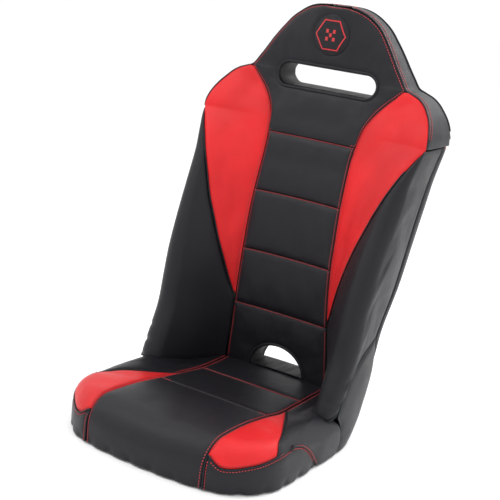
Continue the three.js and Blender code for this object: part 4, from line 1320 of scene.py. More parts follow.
@dataclass
class BackCover:
    """The back's quilted centre, its red shoulders and the head."""

    channel_rise: float = 7.0
    red_rise: float = 6.0
    head_rise: float = 5.0
    red_foot: float = 219.0
    panels: dict[str, Panel] = field(default_factory=dict)

    def build(self) -> None:
        """Builds every panel, then the stitching of its seams."""
        self.build_channels()
        self.build_upper()
        self.build_lower()
        for side, word in SIDES:
            self.build_shoulder(side, word)
        self.stitch()

    def add(self, panel: Panel) -> Panel:
        """Builds a panel and keeps it under its name."""
        self.panels[panel.name] = panel.build()
        return panel

    def build_channels(self) -> None:
        """Builds the three quilted channels."""
        sides = ((Edge.LEFT, STITCH_LINE), (Edge.RIGHT, STITCH_LINE))
        for i, low in enumerate(BACK.channels[:3]):
            high = BACK.channels[i + 1]

            def surface(u: Array, v: Array, low: float = low, high: float = high) -> Array:
                """Returns points of the channel."""
                z = lerp(low + GAP, high - GAP, v)
                return BACK.front((2 * u - 1) * (BACK.channel_x(z) - GAP), z)

            self.add(Panel(
                f"quilted_channel_{i + 1}", surface, (0, -1, 0), Finish.BLACK_VINYL,
                f"back_channel_panel_{i + 1}", self.channel_rise, 3.6, 5.0, creases=sides, fill=0.5))

    def build_upper(self) -> None:
        """Builds the panel that runs from the top cross seam to the crown, round the harness opening."""
        outline = upper_outline(BACK.channels[-1], BACK.channel_x, GAP)
        surface = ring_surface(outline, 0.4, BACK.front)
        self.add(Panel("head_and_chest_panel", surface, (0, -1, 0), Finish.BLACK_VINYL,
                       "head_and_upper_centre_panel", self.head_rise, 3.2, 5.0,
                       free=(Edge.LEFT, Edge.RIGHT), creases=((Edge.TOP, STITCH_LINE),), fill=0.5,
                       folds=self.head_folds))

    @staticmethod
    def head_folds(u: Array, v: Array, points: Array) -> Array:
        """Returns the dimple pressed in round the badge.

        Args:
            u: shares round the panel; not used.
            v: shares up or back over it; not used.
            points: its pattern points.

        Returns:
            The heights that are added, in millimetres.
        """
        away = np.hypot(points[..., 0], points[..., 2] - BADGE_LEVEL)
        ring = -2.2 * np.exp(-(((away - 41.0) / 5.0) ** 2))
        return ring - 1.2 * (1 - smooth((away - 36.0) / 10.0))

    def build_lower(self) -> None:
        """Builds the panel over the lap belt opening and its two legs."""

        def surface(u: Array, v: Array) -> Array:
            """Returns points of the panel, round the arch by u and outwards by v."""
            low, top, corner = ARCH.floor - 8, BACK.channels[0] - GAP, 0.3
            angle = math.pi * (1 - u)
            rim_x = ARCH.half_width * np.cos(angle)
            rim_z = np.maximum(low, ARCH.floor + ARCH.rise * np.sin(angle) - 11 * (1 - np.sin(angle)))
            rise = np.minimum(u, 1 - u) / corner
            z = np.where(rise < 1, lerp(low, top, rise), top)
            reach = BACK.channel_x(z) - GAP
            across = lerp(-reach, reach, (u - corner) / (1 - 2 * corner))
            x = np.where(rise < 1, np.where(u < 0.5, -reach, reach), across)
            return BACK.front(lerp(rim_x, x, v), lerp(rim_z, z, v))

        self.add(Panel("belt_arch_panel", surface, (0, -1, 0), Finish.BLACK_VINYL, "lower_centre_panel",
                       4.0, 3.0, 4.5, free=(Edge.LEFT, Edge.RIGHT), creases=((Edge.TOP, STITCH_LINE),),
                       spacing=2.6, fill=0.4))

    def build_shoulder(self, side: int, word: str) -> None:
        """Builds one red shoulder panel.

        Args:
            side: -1 for the left and 1 for the right.
            word: the side's name.
        """
        levels = (222, 255, 299, 344, 386, 428, 470, 512, 553, 590)
        edge = Spline([(float(BACK.wing_x(z)), z) for z in levels] + list(BACK.outline[:9]))

        def surface(u: Array, v: Array) -> Array:
            """Returns points of the panel, outwards by u and upwards by v."""
            edge_x, edge_z = edge(lerp(0.004, 0.985, v))
            z = lerp(self.red_foot, BACK.neck - 4, v)
            inner = BACK.channel_x(z) + GAP
            outer = np.maximum(inner + 0.4, edge_x - 1.2)
            return BACK.front(side * lerp(inner, outer, u), lerp(z, edge_z, u))

        self.add(Panel(f"red_shoulder_{word}", surface, (0, -1, 0), Finish.RED_VINYL,
                       f"red_shoulder_panel_{word}", self.red_rise, 3.0, 4.5,
                       creases=((Edge.LEFT, STITCH_LINE),), fill=0.6))

    def stitch(self) -> None:
        """Sews the topstitching of the back's front."""
        red = Stitching("topstitch_back_centre")
        for i in range(1, 4):
            panel = self.panels[f"quilted_channel_{i}"]
            red.sew(panel.run(Edge.TOP, 1.6))
            for edge in (Edge.LEFT, Edge.RIGHT):
                red.sew(panel.run(edge, STITCH_LINE))
        upper, lower = self.panels["head_and_chest_panel"], self.panels["belt_arch_panel"]
        red.sew(lower.run(Edge.TOP, 1.6, 0.3, 0.7))
        red.sew(lower.run(Edge.TOP, STITCH_LINE, 0.02, 0.29))
        red.sew(lower.run(Edge.TOP, STITCH_LINE, 0.71, 0.98))
        red.sew(upper.run(Edge.TOP, STITCH_LINE, 0.092, 0.908))
        red.done()
        dark = Stitching("topstitch_red_shoulders", Finish.DARK_THREAD)
        for word in ("left", "right"):
            dark.sew(self.panels[f"red_shoulder_{word}"].run(Edge.LEFT, STITCH_LINE, 0.02, 0.98))
        dark.done()


@dataclass
class SideCover:
    """The side bolsters, the hips and the head's side band."""

    bolster_top: float = 602.0
    bolster_rise: float = 4.5
    panels: dict[str, Panel] = field(default_factory=dict)

    def build(self) -> None:
        """Builds both sides and the band over the head."""
        for side, word in SIDES:
            self.build_bolster(side, word)
            self.build_hip(side, word)
        self.build_head_band()

    @staticmethod
    def bolster_start(z: Array) -> Array:
        """Returns the station of the bolster's front seam on the back's skin.

        Args:
            z: heights.

        Returns:
            The stations.
        """
        radius, centre_x, _, turn, start_x, _ = BACK.crest(z)
        seam = np.where(z > 213, BACK.wing_x(z), BACK.channel_x(z)) + 0.3 + smooth((z - 213) / 40)
        angle = -np.arccos(np.clip((seam - centre_x) / radius, -1, 1))
        on_arc = 1 + (angle + math.pi / 2 + turn) / (math.pi / 2 + turn)
        return np.where(seam < start_x, seam / start_x, on_arc)

    def build_bolster(self, side: int, word: str) -> None:
        """Builds one side bolster, from the red panel's seam round to the rear.

        Args:
            side: -1 for the left and 1 for the right.
            word: the side's name.
        """
        floor = Through((0.3, 72), (0.6, 80), (1, 96), (1.8, 98), (1.95, 120), (2.05, 160), (2.3, 190),
                        (2.6, 203), (3, 222))

        def surface(u: Array, v: Array) -> Array:
            """Returns points of the bolster, round it by u and upwards by v."""
            z = lerp(floor(lerp(0.4, 3, u)) - 14 * smooth((0.7 - u) / 0.25), self.bolster_top, v)
            return BACK.skin(lerp(self.bolster_start(z), 3, u), z, side)

        def folds(u: Array, v: Array, points: Array) -> Array:
            """Returns the creases where the bolster meets the cushion.

            Args:
                u: shares round the panel.
                v: shares up it; not used.
                points: its pattern points.

            Returns:
                The heights that are added, in millimetres.
            """
            low = np.exp(-(((points[..., 2] - 122) / 34) ** 2)) * smooth((u - 0.3) / 0.14)
            slant = points[..., 2] * 0.17 + points[..., 1] * 0.05 + 0.9 * np.sin(points[..., 1] / 23 + side)
            return -2.4 * low * np.maximum(0, np.sin(slant)) ** 2

        self.panels[f"bolster_{word}"] = Panel(
            f"side_bolster_cover_{word}", surface, (side, 0, 0), Finish.BLACK_VINYL,
            f"side_bolster_panel_{word}", self.bolster_rise, 2.6, 5.0, fill=0.7, folds=folds, spacing=3.6,
            cell=17.0, gathers=0.2).build()

    def build_hip(self, side: int, word: str) -> None:
        """Builds one hip panel, below and behind the bolster.

        Args:
            side: -1 for the left and 1 for the right.
            word: the side's name.
        """
        upper_seam = Through((97, 2.02), (142, 2.08), (179, 2.2), (203, 2.62), (222, 3.0))

        def surface(u: Array, v: Array) -> Array:
            """Returns points of the hip, backwards by u and upwards by v."""
            z = lerp(CUSHION.hem, 218, v)
            centre_y = BACK.crest(z)[2]
            low = 2 + (CUSHION.hip_seam(z) + 1 - centre_y) / (BACK.rear_start(z) - centre_y)
            start = np.maximum(2.02, np.where(z < 97, low, upper_seam(z))) + 0.05
            return BACK.skin(lerp(start, REAR_EDGE(z) - 0.01, u), z, side)

        self.panels[f"hip_{word}"] = Panel(
            f"hip_cover_{word}", surface, (side, 0, 0), Finish.BLACK_VINYL, f"hip_panel_{word}", 3.0, 2.2,
            5.0, free=(Edge.BOTTOM,), fill=0.4).build()

    def build_head_band(self) -> None:
        """Builds the band round the head's edge."""

        def surface(u: Array, v: Array) -> Array:
            """Returns points of the band, from the left shoulder over the crown by u, backwards by v."""
            x, z = HEAD_CURVE(1 - np.abs(2 * u - 1))
            front = BACK.front_depth(x, z) + 4.5
            rear = BACK.rear_depth(z) - 3.5
            return stack(np.where(u < 0.5, -x, x), lerp(front, rear, v), z + 0.4)

        self.panels["band"] = Panel(
            "head_side_band_cover", surface, (0, 0, 1), Finish.BLACK_VINYL, "head_side_band", 2.0, 2.0, 4.0,
            free=(Edge.LEFT, Edge.RIGHT), creases=((Edge.BOTTOM, STITCH_LINE),), fill=0.3,
            thickness=4.2).build()


REAR_EDGE = Through((0, 3.45), (60, 3.4), (140, 3.25), (222, 3.02))


@dataclass
class Seams:
    """The stitching and welts that join the back's front to its sides."""

    back: BackCover
    sides: SideCover

    def build(self) -> None:
        """Sews the head's edge and lays the dark welts between red and black."""
        band = self.sides.panels["band"]
        rows = Stitching("topstitch_head_edge")
        rows.sew(band.run(Edge.BOTTOM, STITCH_LINE, 0.02, 0.98))
        rows.sew(band.run(Edge.BOTTOM, STITCH_LINE + 6.5, 0.02, 0.98))
        rows.done()
        welt = Welt("welt_head_edge", radius=1.7)
        welt.lay(band.run(Edge.BOTTOM, 0.4, 0.0, 1.0), 1.6)
        welt.done()
        dark = Welt("welt_red_shoulders", radius=1.35)
        for word in ("left", "right"):
            panel = self.back.panels[f"red_shoulder_{word}"]
            points, normals = panel.run(Edge.RIGHT, 0.0, 0.0, 0.66)
            dark.lay((points, normals), 1.6)
        dark.done()
        sides = Welt("welt_hips", radius=1.3)
        for word in ("left", "right"):
            sides.lay(self.sides.panels[f"bolster_{word}"].run(Edge.BOTTOM, 0.3, 0.45, 1.0), 1.2)
            sides.lay(self.sides.panels[f"hip_{word}"].run(Edge.LEFT, 0.2, 0.0, 0.5), 1.0)
        sides.done()


# ---------------------------------------------------------------- cover of the cushion
CORNER = Spline(list(CUSHION.corner_seam) + [tuple(float(c) for c in CUSHION.band(CUSHION.band_turn))])


@dataclass
class CushionCover:
    """The cushion's centre, its red corners, the corner bands and the side panels."""

    centre_rise: float = 5.0
    side_rise: float = 5.0
    red_rise: float = 5.0
    panels: dict[str, Panel] = field(default_factory=dict)

    def build(self) -> None:
        """Builds every panel, then the seams between them."""
        self.build_centre()
        for side, word in SIDES:
            self.build_corner(side, word)
            self.build_band(side, word)
            self.build_side(side, word)
        self.stitch()

    def build_centre(self) -> None:
        """Builds the three panels of the centre; the front one rolls down to the hem."""
        first, second = CUSHION.seams
        rows = (
            ("cushion_front_cover", lambda x: CUSHION.wall(np.abs(x), CUSHION.hem)[1],
             lambda x: first + 0 * x, "cushion_front_panel", self.centre_rise),
            ("cushion_middle_cover", lambda x: first + 0 * x,
             lambda x: second + 0 * x, "cushion_middle_panel", 3.0),
            ("cushion_rear_cover", lambda x: second + 0 * x,
             lambda x: BACK.front_depth(x, ARCH.floor) + 6, "cushion_rear_panel", 3.0),
        )
        for name, front, rear, node, rise in rows:

            def surface(u: Array, v: Array, front: SeamMap = front, rear: SeamMap = rear) -> Array:
                """Returns points of the panel.

                Args:
                    u: shares across it.
                    v: shares back over it.
                    front: its front seam, the depth by x.
                    rear: its rear seam, the depth by x.

                Returns:
                    The points.
                """
                across = 2 * u - 1
                guide = lerp(front(np.zeros_like(u)), rear(np.zeros_like(u)), v)
                x = across * (CUSHION.seam_x(guide) - GAP)
                return CUSHION.wrap(x, lerp(front(x) + GAP, rear(x) - GAP, v))

            free = (Edge.BOTTOM,) if "front" in name else (Edge.TOP,) if "rear" in name else ()
            folds = self.hem_pulls if "front" in name else None
            self.panels[node] = Panel(
                name, surface, (0, -0.2, 1), Finish.BLACK_VINYL, node, rise, 2.4, 5.0, free=free,
                creases=((Edge.LEFT, STITCH_LINE), (Edge.RIGHT, STITCH_LINE)), fill=0.5, folds=folds,
                spacing=3.6, cell=10.0).build()

    @staticmethod
    def hem_pulls(u: Array, v: Array, points: Array) -> Array:
        """Returns the scallops that the hog rings pull into the hem."""
        ring = np.abs(np.sin(u * math.pi * 5.5 + 0.6)) ** 6
        return -3.0 * smooth((26 - points[..., 2]) / 24) * ring

    def build_corner(self, side: int, word: str) -> None:
        """Builds one red corner of the cushion.

        Args:
            side: -1 for the left and 1 for the right.
            word: the side's name.
        """

        def surface(u: Array, v: Array) -> Array:
            """Returns points of the corner, outwards by u and backwards by v."""
            back = lerp(0.0, 0.985, v)
            start_y = CUSHION.band(np.asarray(CUSHION.band_start + 0.6), 0.6)[1]
            y = lerp(start_y, CUSHION.corner_seam[0][1], back)
            inner_x = CUSHION.seam_x(y) + GAP + 0.2
            outer_x, outer_y = CORNER(1 - back)
            tip_x, tip_y = CORNER(np.asarray(1.0))
            seam_x, seam_y = CUSHION.band(lerp(CUSHION.band_start + 0.6, CUSHION.band_turn, u), 0.6)
            base_x = lerp(CUSHION.seam_x(start_y) + GAP + 0.2, tip_x - 0.6, u)
            base_y = lerp(start_y, tip_y - 0.5, u)
            x = lerp(inner_x, outer_x - 0.6, u) + (1 - v) * (seam_x - base_x)
            return CUSHION.wrap(side * x, lerp(y, outer_y - 0.5, u) + (1 - v) * (seam_y - base_y))

        self.panels[f"red_{word}"] = Panel(
            f"red_corner_cover_{word}", surface, (0, 0, 1), Finish.RED_VINYL, f"red_cushion_panel_{word}",
            self.red_rise, 2.6, 4.5, creases=((Edge.BOTTOM, STITCH_LINE), (Edge.LEFT, STITCH_LINE)),
            fill=0.6).build()

    def build_band(self, side: int, word: str) -> None:
        """Builds one band round the cushion's front corner, under the red panel.

        Args:
            side: -1 for the left and 1 for the right.
            word: the side's name.
        """

        def surface(u: Array, v: Array) -> Array:
            """Returns points of the band, round the corner by u and upwards by v."""
            distance = lerp(CUSHION.band_start + 0.7, CUSHION.band_end - 9, u)
            low_x, low_y = CUSHION.wall(distance, CUSHION.hem)
            high_x, high_y = CUSHION.band(distance, -0.5)
            return CUSHION.wrap(side * lerp(low_x, high_x, v), lerp(low_y, high_y, v))

        self.panels[f"band_{word}"] = Panel(
            f"corner_band_cover_{word}", surface, (side, -1, 0), Finish.BLACK_VINYL,
            f"front_corner_band_{word}", 3.0, 2.4, 4.5, free=(Edge.BOTTOM,), fill=0.4,
            creases=((Edge.TOP, STITCH_LINE), (Edge.LEFT, STITCH_LINE)), folds=self.hem_pulls).build()

    def build_side(self, side: int, word: str) -> None:
        """Builds one side panel, from the red corner back to the crease and down to the hem.

        Args:
            side: -1 for the left and 1 for the right.
            word: the side's name.
        """
        turn, hip = 0.5, 0.6
        round_corner = CUSHION.front + CUSHION.half_width + CUSHION.corner * (math.pi / 2 - 2)

        def front_edge(s: Array) -> tuple[Array, Array]:
            """Returns the panel's front edge: the corner seam, then the band's seam."""
            seam_x, seam_y = CORNER(np.clip(s / turn, 0, 1))
            past = np.clip((s - turn) / (1 - turn), 0, 1)
            band_x, band_y = CUSHION.band(lerp(CUSHION.band_turn, CUSHION.band_end, past), 0.7 * past)
            inset = 0.7 * (1 - np.clip(s / turn, 0, 1))
            return np.where(s < turn, seam_x + inset, band_x), np.where(s < turn, seam_y + inset, band_y)

        def rear_edge(s: Array) -> tuple[Array, Array]:
            """Returns the panel's rear edge: under the bolster, then down the hip's seam."""
            x = lerp(129.0, 206.0, np.clip(s / turn, 0, 1))
            y = BACK.front_depth(x, 88.0) + 17
            z = lerp(88.0, CUSHION.hem, np.clip((s - hip) / (1 - hip), 0, 1))
            wall_x, wall_y = CUSHION.wall(CUSHION.hip_seam(z) - 1.0 + round_corner, z)
            join = smooth((s - turn) / (hip - turn))
            return lerp(x, wall_x, join), lerp(y, wall_y, join)

        def surface(u: Array, v: Array) -> Array:
            """Returns points of the panel, outwards by u and backwards by v."""
            u = lerp(0.008, 1.0, u)
            front, rear = front_edge(u), rear_edge(u)
            hem_front, hem_rear = front_edge(np.ones_like(u)), rear_edge(np.ones_like(u))
            end = rear_edge(np.zeros_like(u))
            inner_y = lerp(CUSHION.corner_seam[0][1] + 2.0, end[1], v)
            inner = (np.maximum(CUSHION.seam_x(inner_y) + 0.6, 129.0 * v), inner_y)
            first_x = np.maximum(CUSHION.seam_x(np.asarray(CUSHION.corner_seam[0][1] + 2.0)) + 0.6, 0)
            first = (first_x, CUSHION.corner_seam[0][1] + 2.0)
            last = (np.maximum(CUSHION.seam_x(end[1]) + 0.6, 129.0), end[1])
            flat = []
            for a in range(2):
                along = lerp(front[a], rear[a], v)
                outwards = lerp(inner[a], lerp(hem_front[a], hem_rear[a], v), u)
                corners = lerp(lerp(first[a], hem_front[a], u), lerp(last[a], hem_rear[a], u), v)
                flat.append(along + outwards - corners)
            return CUSHION.wrap(side * flat[0], flat[1])

        self.panels[f"side_{word}"] = Panel(
            f"cushion_side_cover_{word}", surface, (side, 0, 1), Finish.BLACK_VINYL,
            f"cushion_side_panel_{word}", self.side_rise, 2.4, 5.0, free=(Edge.RIGHT, Edge.TOP), fill=0.6,
            spacing=3.6, cell=10.0).build()

    def stitch(self) -> None:
        """Sews the cushion's topstitching and lays its welts."""
        red = Stitching("topstitch_cushion")
        front, middle = self.panels["cushion_front_panel"], self.panels["cushion_middle_panel"]
        rear = self.panels["cushion_rear_panel"]
        for panel, start in ((front, 0.0), (middle, 0.02), (rear, 0.02)):
            for edge in (Edge.LEFT, Edge.RIGHT):
                red.sew(panel.run(edge, STITCH_LINE, start, 0.99))
        red.sew(rear.run(Edge.BOTTOM, 1.6))
        red.sew(middle.run(Edge.BOTTOM, 1.6, 0.0, 0.1))
        red.sew(middle.run(Edge.BOTTOM, 1.6, 0.9, 1.0))
        for word in ("left", "right"):
            band = self.panels[f"band_{word}"]
            red.sew(band.run(Edge.TOP, STITCH_LINE, 0.03, 0.99))
            red.sew(band.run(Edge.LEFT, STITCH_LINE, 0.0, 0.93))
            red.sew(self.panels[f"side_{word}"].run(Edge.BOTTOM, STITCH_LINE, 0.51, 0.99))
            red.sew(self.panels[f"side_{word}"].run(Edge.LEFT, STITCH_LINE, 0.02, 0.96))
        red.done()
        dark = Stitching("topstitch_red_corners", Finish.DARK_THREAD)
        for word in ("left", "right"):
            panel = self.panels[f"red_{word}"]
            dark.sew(panel.run(Edge.BOTTOM, STITCH_LINE, 0.04, 0.98))
            dark.sew(panel.run(Edge.LEFT, STITCH_LINE, 0.04, 0.98))
        dark.done()
        welt = Welt("welt_cushion", radius=1.5)
        for word in ("left", "right"):
            welt.lay(self.panels[f"red_{word}"].run(Edge.RIGHT, 0.0), 1.5)
            welt.lay(self.panels[f"band_{word}"].run(Edge.TOP, 0.2, 0.0, 1.0), 1.5)
            welt.lay(self.panels[f"band_{word}"].run(Edge.LEFT, 0.2, 0.0, 0.97), 1.2)
        welt.done()


# ---------------------------------------------------------------- openings, rear covers, badge and zip
@dataclass
class Openings:
    """The sleeves that line the two harness openings, with their soft lips."""

    sleeve_wall: float = 1.6
    slot_front: float = 113.0
    slot_rear: float = 175.0
    arch_front: float = 47.0
    arch_rear: float = 103.0
    panels: list[Panel] = field(default_factory=list)

    def build(self) -> None:
        """Builds both sleeves, then their lips."""
        self.build_sleeve("slot_sleeve", self.slot_surface, "harness_slot_sleeve")
        self.build_sleeve("arch_sleeve", self.arch_surface, "belt_opening_sleeve")
        self.build_lips()

    def build_sleeve(self, name: str, surface: SurfaceMap, node: str) -> None:
        """Builds one sleeve, gathered along its depth."""

        def gathers(u: Array, v: Array, points: Array) -> Array:
            """Returns the gathers along the opening."""
            wave = np.sin(points[..., 0] * 0.16) + 0.6 * np.sin(points[..., 0] * 0.37 + points[..., 2] * 0.1)
            return 0.9 * wave * np.sin(math.pi * np.clip(v, 0, 1)) ** 0.7

        self.panels.append(Panel(name, surface, (0, 0, -1), Finish.LINING, node, 0.0, 0.0, 4.0,
                                 self.sleeve_wall, 2.6, 0.2, (Edge.LEFT, Edge.RIGHT), folds=gathers,
                                 gathers=0.15).build())

    def slot_surface(self, u: Array, v: Array) -> Array:
        """Returns points of the slot's sleeve.

        Args:
            u: shares round it.
            v: shares back through it.

        Returns:
            The points.
        """
        angle = math.tau * u + math.pi / 2
        x, z = slot_rim(SLOT.half_length * np.cos(angle), SLOT.level + SLOT.half_height * np.sin(angle), -1.0)
        return stack(x, lerp(self.slot_front, self.slot_rear, v), z)

    def arch_surface(self, u: Array, v: Array) -> Array:
        """Returns points of the arch's sleeve: over the arch, then back along its floor.

        Args:
            u: shares round it.
            v: shares back through it.

        Returns:
            The points.
        """
        floor_share = 0.36
        angle = math.pi * np.clip(u / (1 - floor_share), 0, 1)
        along = np.clip((u - 1 + floor_share) / floor_share, 0, 1)
        width = ARCH.half_width - 1.0
        over = u < 1 - floor_share
        x = np.where(over, width * np.cos(angle), lerp(-width, width, along))
        z = np.where(over, ARCH.floor + (ARCH.rise - 1.0) * np.sin(angle), ARCH.floor)
        return stack(x, lerp(self.arch_front, self.arch_rear, v), z)

    def build_lips(self) -> None:
        """Rolls a soft lip round each opening, front and rear."""
        share = np.linspace(0, 1, 161)
        slot = Welt("harness_slot_lips", Finish.BLACK_VINYL, 3.4)
        angle = math.tau * share
        x, z = slot_rim(SLOT.half_length * np.cos(angle), SLOT.level + SLOT.half_height * np.sin(angle), 1.6)
        front = GRADE.place(stack(x, BACK.front_depth(x, z) + 2.6, z))
        rear = GRADE.place(stack(x, BACK.rear_depth(z) - 2.6 + 0.5 * np.sin(share * 90), z))
        outwards = np.zeros_like(front)
        slot.lay((front, outwards))
        slot.lay((rear, outwards))
        slot.done()
        arch = Welt("belt_arch_lips", Finish.BLACK_VINYL, 3.6)
        angle = math.pi * np.linspace(0, 1, 61)
        x = (ARCH.half_width + 1.5) * np.cos(angle)
        z = ARCH.floor - 3 + (ARCH.rise + 4.5) * np.sin(angle)
        arch.lay((GRADE.place(stack(x, BACK.front_depth(x, z) + 2.4, z)), outwards[:61]))
        arch.lay((GRADE.place(stack(x, BACK.rear_depth(z) - 2.4, z)), outwards[:61]))
        arch.done()


@dataclass
class RearCover:
    """The rear of the head and of the back, with the zip between them."""

    zip_level: float = 611.0
    zip_half: float = 6.4
    tooth_pitch: float = 2.5
    tooth: tuple[float, float, float] = (1.5, 1.3, 2.6)

    def build(self) -> None:
        """Builds the two panels and the zip."""
        outline = upper_outline(self.zip_level + self.zip_half, lambda z: BACK.head_x(z) - 1, 0.3)
        face = ring_surface(outline, 0.4, lambda x, z: stack(x, BACK.rear_depth(z), z))
        head = Panel("head_rear_cover", face, (0, 1, 0), Finish.BLACK_VINYL, "head_rear_panel", 4.0, 2.4,
                     5.0, 4.0, free=(Edge.LEFT, Edge.RIGHT), creases=((Edge.TOP, STITCH_LINE),),
                     fill=0.3, spacing=4.0).build()
        back = Panel("back_rear_cover", self.back_surface, (0, 1, 0), Finish.BLACK_VINYL,
                     "back_rear_panel", 4.0, 2.4, 5.0, 4.0, free=(Edge.BOTTOM,), fill=0.3, spacing=4.5,
                     cell=14.0, cutter=self.arch_cutter(), folds=self.hem_pulls).build()
        rows = Stitching("topstitch_rear")
        rows.sew(head.run(Edge.TOP, STITCH_LINE, 0.25, 0.75))
        rows.sew(back.run(Edge.TOP, STITCH_LINE, 0.03, 0.97))
        rows.done()
        welt = Welt("welt_head_rear", radius=1.6)
        welt.lay(head.run(Edge.TOP, 0.0, 0.22, 0.78), 0.8)
        welt.done()
        self.build_facings()
        self.build_tape()
        self.build_slider()
        self.build_pull()

    def build_facings(self) -> None:
        """Closes the seam beside the zip with a rolled facing at each end."""
        facings = Welt("rear_seam_facings", Finish.BLACK_VINYL, 7.2)
        for side in (-1, 1):
            x = side * np.linspace(155, 246, 24)
            z = np.full(24, self.zip_level)
            line = GRADE.place(stack(x, BACK.rear_depth(z) - 6.5, z))
            facings.lay((line, np.zeros_like(line)))
        facings.done()

    def back_surface(self, u: Array, v: Array) -> Array:
        """Returns points of the rear panel.

        Args:
            u: shares round it.
            v: shares up it.

        Returns:
            The points.
        """
        z = lerp(CUSHION.hem, self.zip_level - self.zip_half, v)
        share = np.abs(2 * u - 1)
        level = np.minimum(z, BACK.shoulder - 2)
        station = 4 - share * (4 - np.maximum(REAR_EDGE(z) + 0.01, 3.01))
        points = np.where((u < 0.5)[..., None], BACK.skin(station, level, -1), BACK.skin(station, level, 1))
        points[..., 2] = z
        return points

    @staticmethod
    def hem_pulls(u: Array, v: Array, points: Array) -> Array:
        """Returns the scallops that the hog rings pull into the rear hem."""
        return -2.4 * smooth((24 - points[..., 2]) / 22) * np.abs(np.sin(u * math.pi * 9)) ** 6

    @staticmethod
    def arch_cutter() -> bmesh.types.BMesh:
        """Returns the solid that cuts the belt opening through the rear panel."""
        bm = bmesh.new()
        bmesh.ops.create_circle(bm, cap_ends=True, segments=64, radius=1.0)
        bmesh.ops.scale(bm, verts=bm.verts, vec=(ARCH.half_width + 1, ARCH.rise + 1, 1))
        bmesh.ops.bisect_plane(bm, geom=bm.verts[:] + bm.edges[:] + bm.faces[:], plane_co=(0, 0, 0),
                               plane_no=(0, -1, 0), clear_outer=True)
        depth = bmesh.ops.extrude_face_region(bm, geom=bm.faces[:])["geom"]
        far = [part for part in depth if isinstance(part, bmesh.types.BMVert)]
        bmesh.ops.translate(bm, verts=far, vec=(0, 0, 200))
        bmesh.ops.rotate(bm, verts=bm.verts, matrix=Matrix.Rotation(math.pi / 2, 3, "X"))
        bmesh.ops.translate(bm, verts=bm.verts, vec=(0, 240, ARCH.floor))
        for vert in bm.verts:
            vert.co = GRADE.place(np.array(vert.co))
        bmesh.ops.recalc_face_normals(bm, faces=bm.faces)
        return bm

    def block(
        self, bm: bmesh.types.BMesh, centre: Sequence[float], size: Sequence[float], bevel: float,
    ) -> None:
        """Adds a block with rounded edges to a bmesh.

        Args:
            bm: the bmesh.
            centre: the block's middle, in metres.
            size: its size, in millimetres.
            bevel: radius of its edges, in millimetres.
        """
        matrix = Matrix.Translation(Vector(centre)) @ Matrix.Diagonal((*(s * MM for s in size), 1.0))
        verts = bmesh.ops.create_cube(bm, size=1.0, matrix=matrix)["verts"]
        edges = list({edge for vert in verts for edge in vert.link_edges})
        bmesh.ops.bevel(bm, geom=edges, offset=bevel * MM, affect="EDGES", segments=2, profile=0.5,
                        material=-1)

    def build_tape(self) -> None:
        """Builds the zip's two tapes and its closed teeth."""
        low, high = (Vector(corner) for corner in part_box("zip_tape"))
        middle = (low + high) / 2
        share = np.linspace(0, 1, 129)
        level = np.linspace(low.z, high.z, 9)
        x, z = np.meshgrid(lerp(low.x, high.x, share), level)
        ridge = 0.0005 * np.exp(-(((z - middle.z) / 0.0016) ** 2))
        y = middle.y + 0.0003 - ridge + 0.0002 * np.sin(x * 160)
        bm = grid_of(np.stack([x, y, z], axis=-1)[:, ::-1], 0.0009)
        finish_piece("zip_tapes", to_mesh("zip_tapes", bm), Finish.ZIP_TAPE, ["zip_tape"])
        teeth = bmesh.new()
        count = int((high.x - low.x) / (self.tooth_pitch * MM)) - 2
        for k in range(count):
            side = 1 if k % 2 else -1
            centre = (low.x + (k + 1.5) * self.tooth_pitch * MM, high.y + 0.0002, middle.z + side * 0.0006)
            self.block(teeth, centre, self.tooth, 0.3)
        finish_piece("zip_teeth", to_mesh("zip_teeth", teeth), Finish.ZIP_METAL)

    def build_slider(self) -> None:
        """Builds the zip's slider: a waisted plate with a bridge over it."""
        low, high = (Vector(corner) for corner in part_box("zip_slider"))
        middle, size = (low + high) / 2, (high - low) / MM
        bm = bmesh.new()
        self.block(bm, (middle.x, middle.y - 0.0007, middle.z), (size.x, size.y * 0.6, size.z), 0.9)
        for vert in bm.verts:
            waist = 1 - 0.22 * smooth((middle.x - vert.co.x) / 0.004)
            vert.co.z = middle.z + (vert.co.z - middle.z) * float(waist)
        self.block(bm, (middle.x, high.y - 0.0006, middle.z), (size.x * 0.7, 1.0, 2.4), 0.4)
        self.block(bm, (middle.x + 0.0024, middle.y + 0.0006, middle.z), (1.2, 2.2, 2.0), 0.3)
        self.block(bm, (middle.x - 0.0024, middle.y + 0.0006, middle.z), (1.2, 2.2, 2.0), 0.3)
        finish_piece("zip_slider_body", to_mesh("zip_slider_body", bm), Finish.ZIP_METAL, ["zip_slider"],
                     body="slider")

